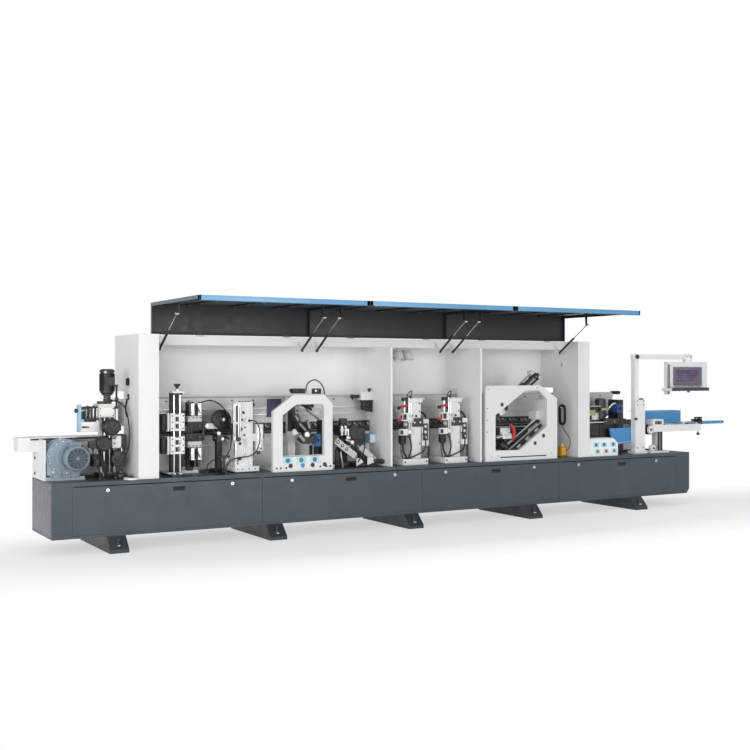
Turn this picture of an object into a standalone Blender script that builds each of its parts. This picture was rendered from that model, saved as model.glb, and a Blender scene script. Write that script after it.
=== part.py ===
"""Automatic straight-line edge banding machine: base, hood, lids, stations, drive and control pendant.

Machine coordinates run along X from the outfeed end of the base, along Y from its front face to
the rear, and up Z from the floor. The empty "machine_frame" carries every piece and shifts them so
that the world origin lies under the middle of the whole machine.
"""
import math

import bmesh
import bpy
from mathutils import Matrix, Vector

# ---------------------------------------------------------------- driving dimensions, in metres
GAP = 0.0003                 # running gap between pieces that touch
SHEET = 0.002                # folded sheet of lids, doors and covers
CLEAR = 0.004                # seam between neighbouring sheet pieces

BASE_LENGTH = 7.2
BASE_DEPTH = 0.70
BASE_BOTTOM = 0.131
BASE_TOP = 0.597
BASE_WALL = 0.006
BASE_CORNER = 0.05           # slanted lower corner at the infeed end

DOOR_COUNT = 4
DOOR_START = 0.168
DOOR_PITCH = 1.71
DOOR_LOW = 0.153
DOOR_HIGH = 0.555
DOOR_RETURN = 0.014
DOOR_SEAM = 0.0015           # round a closed door's edges

FOOT_COUNT = 5
FOOT_START = 0.45
FOOT_PITCH = 1.46
FOOT_WIDTH = 0.165
FOOT_REACH = 0.11            # how far a foot stands out in front of the base, and behind it
FOOT_LIP = 0.03              # height of a foot's thin outer end
BOLT_RADIUS = 0.012

POST_FRONT = 0.017
POST_WALL = 0.003
LEFT_POST = (0.735, 0.916)
RIGHT_POST = (5.575, 5.734)
HOOD_TOP = 1.841
FASCIA_HEIGHT = 0.086
FASCIA_LOW = HOOD_TOP - FASCIA_HEIGHT
WALL_LOW = 1.20              # lower edge of the hood's rear wall
WALL_SETBACK = 0.045         # from the hood's rear wall to the base's rear face
WALL_FRONT = BASE_DEPTH - WALL_SETBACK
PARTITIONS = (3.243, 4.302)
PARTITION_THICK = 0.02
PARTITION_SETBACK = 0.008
NOTCH_FRONT = 0.44           # the feed passage through posts and partitions starts here
NOTCH_HIGH = 1.34

LID_COUNT = 3
HINGE_Y = 0.258
HINGE_Z = HOOD_TOP
BARREL_RADIUS = 0.008
BARREL_LENGTH = 0.07
BARREL_OFFSETS = (0.425, 1.285)
LID_RISE = 0.283             # short leaf, upright while the lid is open
LID_REACH = 1.169            # long leaf, level while the lid is open
LID_FLANGE = 0.03
GRIP_HEIGHT = 0.046          # grip strip along the long leaf's free edge
GRIP_DEPTH = 0.022

STRUT_INSETS = ((0.057, 0.10), (0.055, 0.10), (0.055, 0.11))   # from each lid's ends to its two struts
STRUT_BASE_Y = -0.063        # lower pivot, from the lid hinge
STRUT_BASE_Z = -0.127
STRUT_HEAD_Y = -0.523        # upper pivot, from the lid hinge, lid open
STRUT_HEAD_Z = 0.167
TUBE_RADIUS = 0.011
TUBE_LENGTH = 0.29
ROD_RADIUS = 0.005
ROD_INSIDE = 0.05            # rod left in its tube while the lid is open
BORE_START = 0.07
EYE_RADIUS = 0.012
EYE_PLAY = 0.001             # each side of a strut tube, between its bracket's ears
EYE_WIDTH = 2 * (TUBE_RADIUS + EYE_PLAY)
EAR_THICK = 0.005

TRACK_START = -0.17
TRACK_END = 7.15
TRACK_FRONT = 0.48
TRACK_REAR = 0.64
TRACK_LOW = 0.83
TRACK_TOP = 0.95             # working height
TRACK_WEB = 0.02

BEAM_START = 0.745
BEAM_END = 6.50
BEAM_FRONT = 0.50
BEAM_LOW = 1.03
BEAM_TOP = 1.27
BEAM_WALL = 0.012

RAIL_RADIUS = 0.009

COIL_THICK = 0.022
COIL_X = (RIGHT_POST[0] - GAP - COIL_THICK, RIGHT_POST[0] - GAP)
COIL_MIDDLE = (0.267, 1.045)
COIL_HALF = (0.055, 0.115)
COIL_WIDTH = 0.025
HOOK_RADIUS = 0.008
HOOK_Z = COIL_MIDDLE[1] + COIL_HALF[1] - COIL_WIDTH - HOOK_RADIUS - GAP

CABLE_RADIUS = 0.0055
HOSE_RADIUS = 0.006
WIRE_RADIUS = 0.003
GLAND_RADIUS = 0.012
CORD_GAP = 0.0007            # between a cord's end and its gland
GLAND_HEIGHT = 0.02
GLANDS = ((0.575, 0.14), (0.44, 0.14), (1.44, 0.24), (1.58, 0.13))   # cable glands on top of the base

X_MIN = TRACK_START
FENCE_END = 8.06
FRONT_MOST = HINGE_Y - LID_REACH - GRIP_DEPTH
REAR_MOST = BASE_DEPTH + FOOT_REACH
ORIGIN_SHIFT = Vector((-(X_MIN + FENCE_END) / 2, -(FRONT_MOST + REAR_MOST) / 2, 0.0))

# ---------------------------------------------------------------- finishes: colour, roughness, metallic
FINISHES = {
    "grey_paint": ((0.075, 0.095, 0.115), 0.45, 0.0),
    "lid_grey": ((0.06, 0.075, 0.09), 0.45, 0.0),
    "white_paint": ((0.80, 0.80, 0.79), 0.4, 0.0),
    "cream_paint": ((0.72, 0.71, 0.66), 0.45, 0.0),
    "blue_paint": ((0.05, 0.25, 0.55), 0.4, 0.0),
    "motor_grey": ((0.28, 0.36, 0.42), 0.5, 0.1),
    "black_plastic": ((0.02, 0.02, 0.022), 0.45, 0.0),
    "dark_metal": ((0.05, 0.05, 0.055), 0.4, 0.6),
    "bright_steel": ((0.62, 0.63, 0.64), 0.28, 1.0),
    "aluminium": ((0.66, 0.67, 0.68), 0.35, 0.9),
    "yellow_paint": ((0.75, 0.38, 0.02), 0.45, 0.0),
}

X_AXIS = Vector((1.0, 0.0, 0.0))
Y_AXIS = Vector((0.0, 1.0, 0.0))
Z_AXIS = Vector((0.0, 0.0, 1.0))


# ---------------------------------------------------------------- scene set-up
def clear_scene():
    for old in list(bpy.data.objects):
        bpy.data.objects.remove(old, do_unlink=True)


def new_collection(name):
    group = bpy.data.collections.new(name)
    bpy.context.scene.collection.children.link(group)
    return group


clear_scene()
MACHINE = new_collection("edge_banding_machine")
CUTTERS = new_collection("shape_tools")
FRAME = bpy.data.objects.new("machine_frame", None)
FRAME.location = ORIGIN_SHIFT
MACHINE.objects.link(FRAME)


def finish(name):
    made = bpy.data.materials.get(name)
    if made is None:
        colour, roughness, metallic = FINISHES[name]
        made = bpy.data.materials.new(name)
        made.use_nodes = True
        shader = made.node_tree.nodes["Principled BSDF"]
        shader.inputs["Base Color"].default_value = (*colour, 1.0)
        shader.inputs["Roughness"].default_value = roughness
        shader.inputs["Metallic"].default_value = metallic
    return made


# ---------------------------------------------------------------- shape tools
def tool_object(mesh):
    """A hidden helper that a piece is fused from or cut with."""
    helper = bpy.data.objects.new("tool", mesh)
    helper.hide_render = True
    helper.display_type = "WIRE"
    CUTTERS.objects.link(helper)
    return helper


def from_bmesh(build):
    mesh = bpy.data.meshes.new("tool")
    shape = bmesh.new()
    build(shape)
    bmesh.ops.recalc_face_normals(shape, faces=shape.faces)
    shape.to_mesh(mesh)
    shape.free()
    return tool_object(mesh)


def box(x, y, z, bevel=0.0):
    """A block between the low and high values of x, y and z, its edges bevelled if asked."""
    size = Vector((x[1] - x[0], y[1] - y[0], z[1] - z[0]))
    middle = Vector((x[0] + x[1], y[0] + y[1], z[0] + z[1])) / 2

    def build(shape):
        bmesh.ops.create_cube(shape, size=1.0,
                              matrix=Matrix.Translation(middle) @ Matrix.Diagonal((*size, 1.0)))
        if bevel:
            bmesh.ops.bevel(shape, geom=shape.edges[:], offset=bevel, segments=1, affect="EDGES")

    return from_bmesh(build)


def aim(axis, middle):
    turn = Z_AXIS.rotation_difference(Vector(axis).normalized()).to_matrix().to_4x4()
    return Matrix.Translation(Vector(middle)) @ turn


def rod(start, end, radius, sides=16, end_radius=None):
    """A round bar, or a cone where end_radius differs, from start to end."""
    start = Vector(start)
    end = Vector(end)
    far = radius if end_radius is None else end_radius

    def build(shape):
        bmesh.ops.create_cone(
            shape, cap_ends=True, segments=sides, radius1=radius, radius2=far,
            depth=(end - start).length, matrix=aim(end - start, (start + end) / 2),
        )

    return from_bmesh(build)


def outline(points, near, far, plane="XZ"):
    """A flat outline given in X and Z, or in Y and Z, made thick between near and far."""
    curve = bpy.data.curves.new("outline", "CURVE")
    curve.dimensions = "2D"
    curve.fill_mode = "BOTH"
    curve.extrude = (far - near) / 2
    path = curve.splines.new("POLY")
    path.points.add(len(points) - 1)
    for spot, (across, up) in zip(path.points, points):
        spot.co = (across, up, 0.0, 1.0)
    path.use_cyclic_u = True
    flat = bpy.data.objects.new("outline", curve)
    middle = (near + far) / 2
    if plane == "XZ":
        flat.matrix_world = Matrix.Translation((0.0, middle, 0.0)) @ Matrix.Rotation(math.pi / 2, 4, "X")
    else:
        turn = Matrix(((0, 0, 1, 0), (1, 0, 0, 0), (0, 1, 0, 0), (0, 0, 0, 1)))
        flat.matrix_world = Matrix.Translation((middle, 0.0, 0.0)) @ turn
    CUTTERS.objects.link(flat)
    place = flat.matrix_world.copy()
    bpy.context.view_layer.update()
    mesh = bpy.data.meshes.new_from_object(flat.evaluated_get(bpy.context.evaluated_depsgraph_get()))
    bpy.data.objects.remove(flat, do_unlink=True)
    shape = bmesh.new()
    shape.from_mesh(mesh)
    bmesh.ops.transform(shape, matrix=place, verts=shape.verts)
    bmesh.ops.remove_doubles(shape, verts=shape.verts, dist=0.00001)
    bmesh.ops.recalc_face_normals(shape, faces=shape.faces)
    shape.to_mesh(mesh)
    shape.free()
    return tool_object(mesh)


def boolean(target, operation, helpers):
    for index, helper in enumerate(helpers):
        step = target.modifiers.new(f"{operation}_{index}", "BOOLEAN")
        step.operation = operation
        step.solver = "EXACT"
        step.object = helper


def piece(name, paint, solids, cuts=(), origin=(0.0, 0.0, 0.0), smooth=False):
    """One named piece: its solids fused, its cuts taken away, its origin at the given point."""
    first = solids[0]
    boolean(first, "UNION", solids[1:])
    boolean(first, "DIFFERENCE", cuts)
    bpy.context.view_layer.update()
    mesh = bpy.data.meshes.new_from_object(first.evaluated_get(bpy.context.evaluated_depsgraph_get()))
    mesh.name = name
    mesh.transform(Matrix.Translation(-Vector(origin)))
    mesh.materials.clear()
    mesh.materials.append(finish(paint))
    if smooth:
        mesh.shade_smooth()
        mesh.set_sharp_from_angle(angle=math.radians(35))
    for helper in (*solids, *cuts):
        bpy.data.objects.remove(helper, do_unlink=True)
    made = bpy.data.objects.new(name, mesh)
    MACHINE.objects.link(made)
    made.parent = FRAME
    made.location = origin


# ---------------------------------------------------------------- base, doors and feet
def door_span(index):
    start = DOOR_START + index * DOOR_PITCH
    return start + CLEAR / 2, start + DOOR_PITCH - CLEAR / 2


def foot_solids(index):
    low = FOOT_START + index * FOOT_PITCH
    high = low + FOOT_WIDTH
    top = BASE_BOTTOM + BASE_WALL / 2
    side = [(-FOOT_REACH, 0.0), (BASE_DEPTH + FOOT_REACH, 0.0), (BASE_DEPTH + FOOT_REACH, FOOT_LIP),
            (BASE_DEPTH + 0.01, top), (-0.01, top), (-FOOT_REACH, FOOT_LIP)]
    solids = [outline(side, low, high, "YZ")]
    for spot in (-FOOT_REACH * 0.62, BASE_DEPTH + FOOT_REACH * 0.62):
        middle = (low + high) / 2
        solids.append(rod((middle, spot, 0.02), (middle, spot, top - 0.015), BOLT_RADIUS, 12))
        solids.append(rod((middle, spot, 0.05), (middle, spot, 0.085), BOLT_RADIUS * 1.9, 6))
    return solids


def base_bed():
    cuts = []
    inner = 0.015
    for index in range(DOOR_COUNT):
        low, high = door_span(index)
        edge = DOOR_SEAM
        cuts.append(box((low - edge, high + edge), (-0.01, DOOR_RETURN + GAP),
                        (DOOR_LOW - edge, DOOR_HIGH + edge)))
        cuts.append(box((low + inner, high - inner), (0.0, BASE_DEPTH - BASE_WALL),
                        (DOOR_LOW + inner, DOOR_HIGH + inner / 2)))
    corner = [(BASE_LENGTH - BASE_CORNER, BASE_BOTTOM - 0.01), (BASE_LENGTH + 0.02, BASE_BOTTOM - 0.01),
              (BASE_LENGTH + 0.02, BASE_BOTTOM + BASE_CORNER + 0.02),
              (BASE_LENGTH, BASE_BOTTOM + BASE_CORNER)]
    cuts.append(outline(corner, -0.01, BASE_DEPTH + 0.01))
    solids = [box((0.0, BASE_LENGTH), (0.0, BASE_DEPTH), (BASE_BOTTOM, BASE_TOP))]
    for index in range(FOOT_COUNT):
        solids += foot_solids(index)
    for x, y in GLANDS:
        solids.append(rod((x, y, BASE_TOP - 0.01), (x, y, BASE_TOP + GLAND_HEIGHT), GLAND_RADIUS, 12))
    piece("base_bed", "grey_paint", solids, cuts)


def base_door(index):
    low, high = door_span(index)
    skin = box((low, high), (0.0, DOOR_RETURN), (DOOR_LOW, DOOR_HIGH))
    hollow = box((low + SHEET, high - SHEET), (SHEET, DOOR_RETURN + 0.01),
                 (DOOR_LOW + SHEET, DOOR_HIGH - SHEET))
    piece(f"base_door_{index + 1}", "grey_paint", [skin], [hollow],
          origin=((low + high) / 2, 0.0, DOOR_LOW))


# ---------------------------------------------------------------- hood
def post(name, span, extras=()):
    low, high = span
    floor = BASE_TOP + GAP
    wall = POST_WALL
    outer = [(POST_FRONT, floor), (NOTCH_FRONT, floor), (NOTCH_FRONT, NOTCH_HIGH), (BASE_DEPTH, NOTCH_HIGH),
             (BASE_DEPTH, HOOD_TOP), (POST_FRONT, HOOD_TOP)]
    inner = [(POST_FRONT + wall, floor - 0.01), (NOTCH_FRONT - wall, floor - 0.01),
             (NOTCH_FRONT - wall, NOTCH_HIGH + wall), (BASE_DEPTH - wall, NOTCH_HIGH + wall),
             (BASE_DEPTH - wall, HOOD_TOP - wall), (POST_FRONT + wall, HOOD_TOP - wall)]
    hollow = outline(inner, low + wall, high - wall, "YZ")
    piece(name, "white_paint", [outline(outer, low, high, "YZ"), *extras], [hollow])


def coil_hanger():
    """The peg and thin stay that hold the spare coil on the infeed post's inner side."""
    inner = RIGHT_POST[0]
    y = COIL_MIDDLE[0]
    middle = inner - COIL_THICK / 2 - GAP
    return [
        rod((inner + POST_WALL / 2, y, HOOK_Z), (inner - COIL_THICK - 0.012, y, HOOK_Z), HOOK_RADIUS, 12),
        box((middle - 0.012, inner + POST_WALL / 2), (y - 0.03, y - 0.01), (1.595, 1.615)),
    ]


def partition(left):
    top = FASCIA_LOW - GAP
    rear = WALL_FRONT + 0.001
    front = POST_FRONT + PARTITION_SETBACK
    side = [(front, BASE_TOP + GAP), (NOTCH_FRONT, BASE_TOP + GAP), (NOTCH_FRONT, NOTCH_HIGH),
            (rear, NOTCH_HIGH), (rear, top), (front, top)]
    return outline(side, left, left + PARTITION_THICK, "YZ")


def back_wall():
    left = LEFT_POST[1] + GAP
    right = RIGHT_POST[0] - GAP
    sheet = box((left, right), (WALL_FRONT, WALL_FRONT + 0.003), (WALL_LOW, HOOD_TOP - 0.003 - GAP))
    fold = box((left, right), (WALL_FRONT, BASE_DEPTH), (WALL_LOW, WALL_LOW + 0.003))
    piece("hood_back_wall", "white_paint", [sheet, fold, *(partition(place) for place in PARTITIONS)])


def lid_span(index):
    left = LEFT_POST[1] + CLEAR
    width = (RIGHT_POST[0] - CLEAR - left) / LID_COUNT
    return left + index * width + CLEAR / 2, left + (index + 1) * width - CLEAR / 2


def strut_places():
    """Each strut as its middle in X, the side its ears stand on, and the lid that it holds."""
    places = []
    for index in range(LID_COUNT):
        low, high = lid_span(index)
        first, last = STRUT_INSETS[index]
        places.append((low + first, 1, index))
        places.append((high - last, -1, index))
    return places


def strut_pivots():
    base = Vector((0.0, HINGE_Y + STRUT_BASE_Y, HINGE_Z + STRUT_BASE_Z))
    head = Vector((0.0, HINGE_Y + STRUT_HEAD_Y, HINGE_Z + STRUT_HEAD_Z))
    return base, head


def hood_roof():
    left = LEFT_POST[1] + GAP
    right = RIGHT_POST[0] - GAP
    front = HINGE_Y + BARREL_RADIUS + GAP
    solids = [
        box((left, right), (front, BASE_DEPTH), (HOOD_TOP - 0.003, HOOD_TOP)),
        box((left, right), (front, front + 0.003), (FASCIA_LOW, HOOD_TOP)),
        box((left, right), (front, front + 0.05), (FASCIA_LOW, FASCIA_LOW + 0.003)),
    ]
    base, _ = strut_pivots()
    for middle, side, _ in strut_places():
        near = middle + side * (EYE_WIDTH / 2 + GAP)
        far = near + side * EAR_THICK
        ear = [(front + 0.002, FASCIA_LOW + 0.06), (front + 0.002, FASCIA_LOW),
               (base.y + EYE_RADIUS, base.z - EYE_RADIUS), (base.y - EYE_RADIUS, base.z - EYE_RADIUS),
               (base.y - EYE_RADIUS, base.z + EYE_RADIUS)]
        solids.append(outline(ear, min(near, far), max(near, far), "YZ"))
    piece("hood_roof", "white_paint", solids)


def lid(index):
    low, high = lid_span(index)
    skin_rear = HINGE_Y + SHEET
    top = HINGE_Z + LID_RISE
    start = HINGE_Z + CLEAR
    front = HINGE_Y - LID_REACH
    solids = [
        box((low, high), (HINGE_Y, skin_rear), (start, top)),
        box((low, high), (front, skin_rear), (top - SHEET, top)),
        box((low, high), (front - GRIP_DEPTH, front + 0.008), (top - GRIP_HEIGHT, top), 0.004),
    ]
    for end in (low, high - SHEET):
        flange = [(skin_rear, start), (skin_rear, top), (front, top), (front, top - LID_FLANGE),
                  (HINGE_Y - LID_FLANGE, top - LID_FLANGE), (HINGE_Y - LID_FLANGE, start)]
        solids.append(outline(flange, end, end + SHEET, "YZ"))
    for offset in BARREL_OFFSETS:
        begin = low + offset
        solids.append(rod((begin, HINGE_Y, HINGE_Z), (begin + BARREL_LENGTH, HINGE_Y, HINGE_Z),
                          BARREL_RADIUS, 12))
        solids.append(box((begin, begin + BARREL_LENGTH), (HINGE_Y - 0.001, skin_rear),
                          (start, start + 0.01)))
    _, head = strut_pivots()
    for middle, side, owner in strut_places():
        if owner != index:
            continue
        near = middle + side * (EYE_WIDTH / 2 + GAP)
        far = near + side * EAR_THICK
        ear = [(head.y - 0.02, top - SHEET / 2), (head.y - EYE_RADIUS, head.z - EYE_RADIUS),
               (head.y + EYE_RADIUS, head.z - EYE_RADIUS), (head.y + 0.02, top - SHEET / 2)]
        solids.append(outline(ear, min(near, far), max(near, far), "YZ"))
    piece(f"lid_{index + 1}", "lid_grey", solids, origin=((low + high) / 2, HINGE_Y, HINGE_Z))


def struts():
    base, head = strut_pivots()
    along = (head - base).normalized()
    length = (head - base).length
    for index, (middle, _, _) in enumerate(strut_places()):
        shift = Vector((middle, 0.0, 0.0))
        pivot = base + shift
        half = X_AXIS * EYE_WIDTH / 2
        tube = [rod(pivot, pivot + along * TUBE_LENGTH, TUBE_RADIUS, 14),
                rod(pivot - half, pivot + half, EYE_RADIUS, 14)]
        bore = rod(pivot + along * BORE_START, pivot + along * (TUBE_LENGTH + 0.01), ROD_RADIUS + GAP, 12)
        piece(f"strut_tube_{index + 1}", "black_plastic", tube, [bore], origin=pivot, smooth=True)
        top = head + shift
        bar = [rod(pivot + along * (TUBE_LENGTH - ROD_INSIDE), pivot + along * length, ROD_RADIUS, 12),
               rod(top - half, top + half, EYE_RADIUS, 14)]
        piece(f"strut_rod_{index + 1}", "bright_steel", bar, origin=pivot, smooth=True)


# ---------------------------------------------------------------- feed
def conveyor_track():
    middle = (TRACK_FRONT + TRACK_REAR) / 2
    solids = [box((TRACK_START, TRACK_END), (TRACK_FRONT, TRACK_REAR), (TRACK_LOW, TRACK_TOP))]
    solids.append(box((0.02, TRACK_END - 0.25), (middle - TRACK_WEB / 2, middle + TRACK_WEB / 2),
                      (BASE_TOP + GAP, TRACK_LOW + 0.01)))
    for end in (0.02, TRACK_END - 0.27):
        solids.append(box((end, end + 0.02), (TRACK_FRONT, TRACK_REAR), (BASE_TOP + GAP, TRACK_LOW + 0.01)))
    solids += [
        box((-0.07, LEFT_POST[0] - 0.19), (TRACK_FRONT - 0.03, TRACK_REAR + 0.02),
            (TRACK_TOP - 0.02, TRACK_TOP + 0.003)),
        box((-0.002, 0.012), (0.26, BASE_DEPTH - 0.02), (BASE_TOP + GAP, TRACK_TOP - 0.01)),
    ]
    deep = (TRACK_REAR - TRACK_FRONT) / 2 - TRACK_WEB
    cuts = []
    for near, far in ((TRACK_FRONT - 0.01, TRACK_FRONT + deep), (TRACK_REAR - deep, TRACK_REAR + 0.01)):
        cuts.append(box((0.05, TRACK_END - 0.28), (near, far), (TRACK_LOW + 0.012, TRACK_TOP - 0.03)))
    piece("conveyor_track", "white_paint", solids, cuts)


def pressure_beam():
    rear = WALL_FRONT - GAP
    rail_y = BEAM_FRONT + 0.03
    rail_z = BEAM_TOP + RAIL_RADIUS * 0.5
    solids = [
        box((BEAM_START, BEAM_END), (BEAM_FRONT, rear), (BEAM_LOW, BEAM_TOP)),
        rod((BEAM_START + 0.02, rail_y, rail_z), (BEAM_END + 0.10, rail_y, rail_z), RAIL_RADIUS, 10),
    ]
    wall = BEAM_WALL
    cuts = [box((BEAM_START - 0.01, BEAM_END + 0.01), (BEAM_FRONT + 2 * wall, rear - wall),
                (BEAM_LOW + wall, BEAM_TOP - 2 * wall))]
    grooves = 3
    pitch = (BEAM_TOP - BEAM_LOW) / (grooves + 1)
    for index in range(grooves):
        height = BEAM_LOW + pitch * (index + 1)
        cuts.append(box((BEAM_START - 0.01, BEAM_END + 0.01), (BEAM_FRONT - 0.01, BEAM_FRONT + 0.01),
                        (height - 0.008, height + 0.008)))
    piece("pressure_beam", "aluminium", solids, cuts)


# ---------------------------------------------------------------- drive and outfeed
MOTOR_X = 0.228
MOTOR_Z = 0.79
MOTOR_RADIUS = 0.108
MOTOR_FRONT = 0.05
MOTOR_LENGTH = 0.20
GEAR_RADIUS = 0.15
GEAR_OFFSET = -0.055          # from the motor's axis to the gearbox's, in X


def drive_unit():
    rear = MOTOR_FRONT + MOTOR_LENGTH
    floor = BASE_TOP + GAP
    drum = rod((MOTOR_X, MOTOR_FRONT, MOTOR_Z), (MOTOR_X, rear, MOTOR_Z), MOTOR_RADIUS, 32)
    terminal = box((MOTOR_X - 0.05, MOTOR_X + 0.05), (MOTOR_FRONT + 0.07, MOTOR_FRONT + 0.16),
                   (MOTOR_Z + 0.06, MOTOR_Z + MOTOR_RADIUS + 0.022), 0.006)
    piece("drive_motor", "motor_grey", [drum, terminal], smooth=True)
    front = rear + GAP
    middle = MOTOR_X + GEAR_OFFSET
    far = TRACK_FRONT - 0.02
    case = [
        rod((MOTOR_X, front, MOTOR_Z), (MOTOR_X, front + 0.03, MOTOR_Z), MOTOR_RADIUS * 1.12, 28),
        rod((middle, front + 0.015, MOTOR_Z), (middle, far - 0.02, MOTOR_Z), GEAR_RADIUS, 32),
        box((middle - GEAR_RADIUS, middle + GEAR_RADIUS - 0.02), (front + 0.015, far - 0.02),
            (floor, MOTOR_Z)),
        box((middle - GEAR_RADIUS - 0.01, middle + GEAR_RADIUS + 0.01), (front - 0.02, far),
            (floor, floor + 0.02)),
    ]
    piece("drive_gearbox", "motor_grey", case, smooth=True)


def buffing_unit():
    floor = BASE_TOP + GAP
    upper = (0.53, 1.045, 0.072)
    lower = (0.461, 0.905, 0.066)
    parts = [
        box((0.50, 0.64), (0.33, 0.43), (floor, 1.20)),
        box((0.445, 0.575), (0.19, 0.36), (1.125, 1.24), 0.005),
        box((0.34, 0.46), (0.21, 0.36), (1.06, 1.135)),
        box((0.35, 0.45), (0.22, 0.35), (1.13, 1.215)),
        box((0.283, 0.306), (0.24, 0.31), (1.00, 1.235)),
        box((0.30, 0.36), (0.24, 0.30), (1.08, 1.12)),
        box((0.59, 0.635), (0.18, 0.34), (0.87, 0.965)),
    ]
    for x, z, radius in (upper, lower):
        parts.append(rod((x, 0.10, z), (x, 0.20, z), radius, 24))
        parts.append(rod((x, 0.08, z), (x, 0.11, z), radius * 0.8, 24))
        parts.append(rod((x, 0.19, z), (x + 0.04, 0.345, z), radius * 0.45, 12))
    parts.append(box((0.335, 0.42), (0.105, 0.17), (0.872, 0.93)))
    parts.append(rod((0.375, 0.13, 0.856), (0.375, 0.13, 0.88), GLAND_RADIUS, 12))
    piece("buffing_unit", "cream_paint", parts)


UPRIGHT_MOTOR = (0.535, 0.265)


def upright_motor():
    x, y = UPRIGHT_MOTOR
    parts = [
        rod((x, y, 1.24 + GAP), (x, y, 1.29), 0.034, 16),
        rod((x, y, 1.28), (x, y, 1.335), 0.045, 20, 0.06),
        rod((x, y, 1.33), (x, y, 1.525), 0.064, 24),
        rod((x, y, 1.52), (x, y, 1.54), 0.06, 24, 0.048),
        rod((x + 0.02, y, 1.262), (x + 0.045, y, 1.262), GLAND_RADIUS, 12),
    ]
    piece("upright_motor", "dark_metal", parts, smooth=True)


# ---------------------------------------------------------------- stations inside the hood
POLISH_COLUMN = (1.076, 1.153)
POLISH_Y = 0.12
POLISH_REAR = 0.0597          # from the guide bars to the rear of the sliding head


def polishing_station():
    floor = BASE_TOP + GAP
    x0, x1 = POLISH_COLUMN
    middle = (x0 + x1) / 2
    y = POLISH_Y
    bars = (x0 + 0.011, x1 - 0.011)
    low_head = (0.794, 0.948)
    column = [
        box((x0 - 0.02, x1 + 0.02), (y - 0.03, 0.40), (floor, floor + 0.03)),
        box((x0, x1), (y + 0.06, y + 0.10), (floor, 1.34)),
        box((x0 - 0.012, x1 + 0.012), (y - 0.03, y + 0.08), (1.315, 1.345)),
        rod((middle, y, floor + 0.02), (middle, y, 1.37), 0.007, 10),
        rod((middle, y, 1.365), (middle, y, 1.41), 0.016, 12, 0.028),
        box((x0 - 0.03, x1 + 0.02), (y - 0.035, y + 0.07), low_head),
        rod((x0 - 0.076, y + 0.03, low_head[0]), (x0 - 0.076, y + 0.03, low_head[1]), 0.042, 20),
        box((x0 - 0.075, x0 - 0.02), (y + 0.015, y + 0.045), (0.85, 0.89)),
    ]
    for spot in bars:
        column.append(rod((spot, y, floor + 0.005), (spot, y, 1.32), 0.009, 12))
    piece("polish_column", "white_paint", column)
    low, high = (0.997, 1.151)
    head = [
        box((x0 - 0.03, x1 + 0.02), (y - 0.035, y + POLISH_REAR), (low, high)),
        rod((x0 - 0.076, y + 0.03, low + 0.005), (x0 - 0.076, y + 0.03, high - 0.005), 0.042, 20),
        box((x0 - 0.075, x0 - 0.02), (y + 0.015, y + 0.045), (low + 0.055, high - 0.055)),
    ]
    cuts = []
    for spot in (bars[0], middle, bars[1]):
        cuts.append(rod((spot, y, low - 0.01), (spot, y, high + 0.01), 0.009 + 2 * GAP, 12))
    piece("polish_head", "white_paint", head, cuts)
    wheels = [
        box((1.23, 1.40), (0.34, 0.40), (floor, floor + 0.03)),
        box((1.285, 1.345), (0.33, 0.38), (floor, 1.24)),
        rod((1.24, 0.25, 1.12), (1.39, 0.25, 1.12), 0.055, 24),
        rod((1.24, 0.25, 0.70), (1.39, 0.25, 0.70), 0.055, 24),
        box((1.24, 1.39), (0.22, 0.345), (0.995, 1.05)),
        box((1.24, 1.39), (0.22, 0.345), (0.785, 0.835)),
        rod((1.315, 0.25, 0.925), (1.315, 0.345, 0.925), 0.062, 20),
        box((1.30, 1.33), (0.23, 0.345), (0.69, 1.12)),
        rod((1.33, 0.355, 1.225), (1.36, 0.355, 1.225), GLAND_RADIUS, 12),
    ]
    piece("polish_unit", "cream_paint", wheels)


def disc_station():
    floor = BASE_TOP + GAP
    x, z = 1.60, 1.08
    parts = [
        rod((x, 0.26, z), (x, 0.34, z), 0.09, 32),
        rod((x, 0.22, z), (x, 0.27, z), 0.028, 16),
        box((x - 0.03, x + 0.02), (0.32, 0.38), (floor, z)),
        box((x - 0.06, x + 0.0), (0.22, 0.34), (0.88, 0.95)),
        box((x - 0.06, x + 0.02), (0.30, 0.42), (floor, floor + 0.03)),
    ]
    piece("buffing_disc_unit", "dark_metal", parts, smooth=True)


def scraper_plate():
    floor = BASE_TOP + GAP
    parts = [
        box((1.67, 1.84), (0.13, 0.15), (0.64, 1.24)),
        box((1.665, 1.87), (0.12, 0.40), (floor, floor + 0.05)),
        box((1.70, 1.78), (0.14, 0.36), (0.63, 0.90)),
        box((1.875, 1.95), (0.14, 0.26), (0.78, 1.045)),
        box((1.83, 1.88), (0.14, 0.20), (0.88, 0.95)),
        box((1.67, 1.71), (0.08, 0.14), (0.92, 1.16)),
        rod((1.775, 0.10, 1.072), (1.80, 0.10, 1.072), GLAND_RADIUS, 12),
        box((1.76, 1.785), (0.09, 0.14), (1.055, 1.09)),
    ]
    piece("flat_scraper", "white_paint", parts)


ROUND_FRAME = (2.00, 2.61)
ROUND_TOP = 1.301
FRAME_FRONT = 0.03
FRAME_THICK = 0.04


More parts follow.
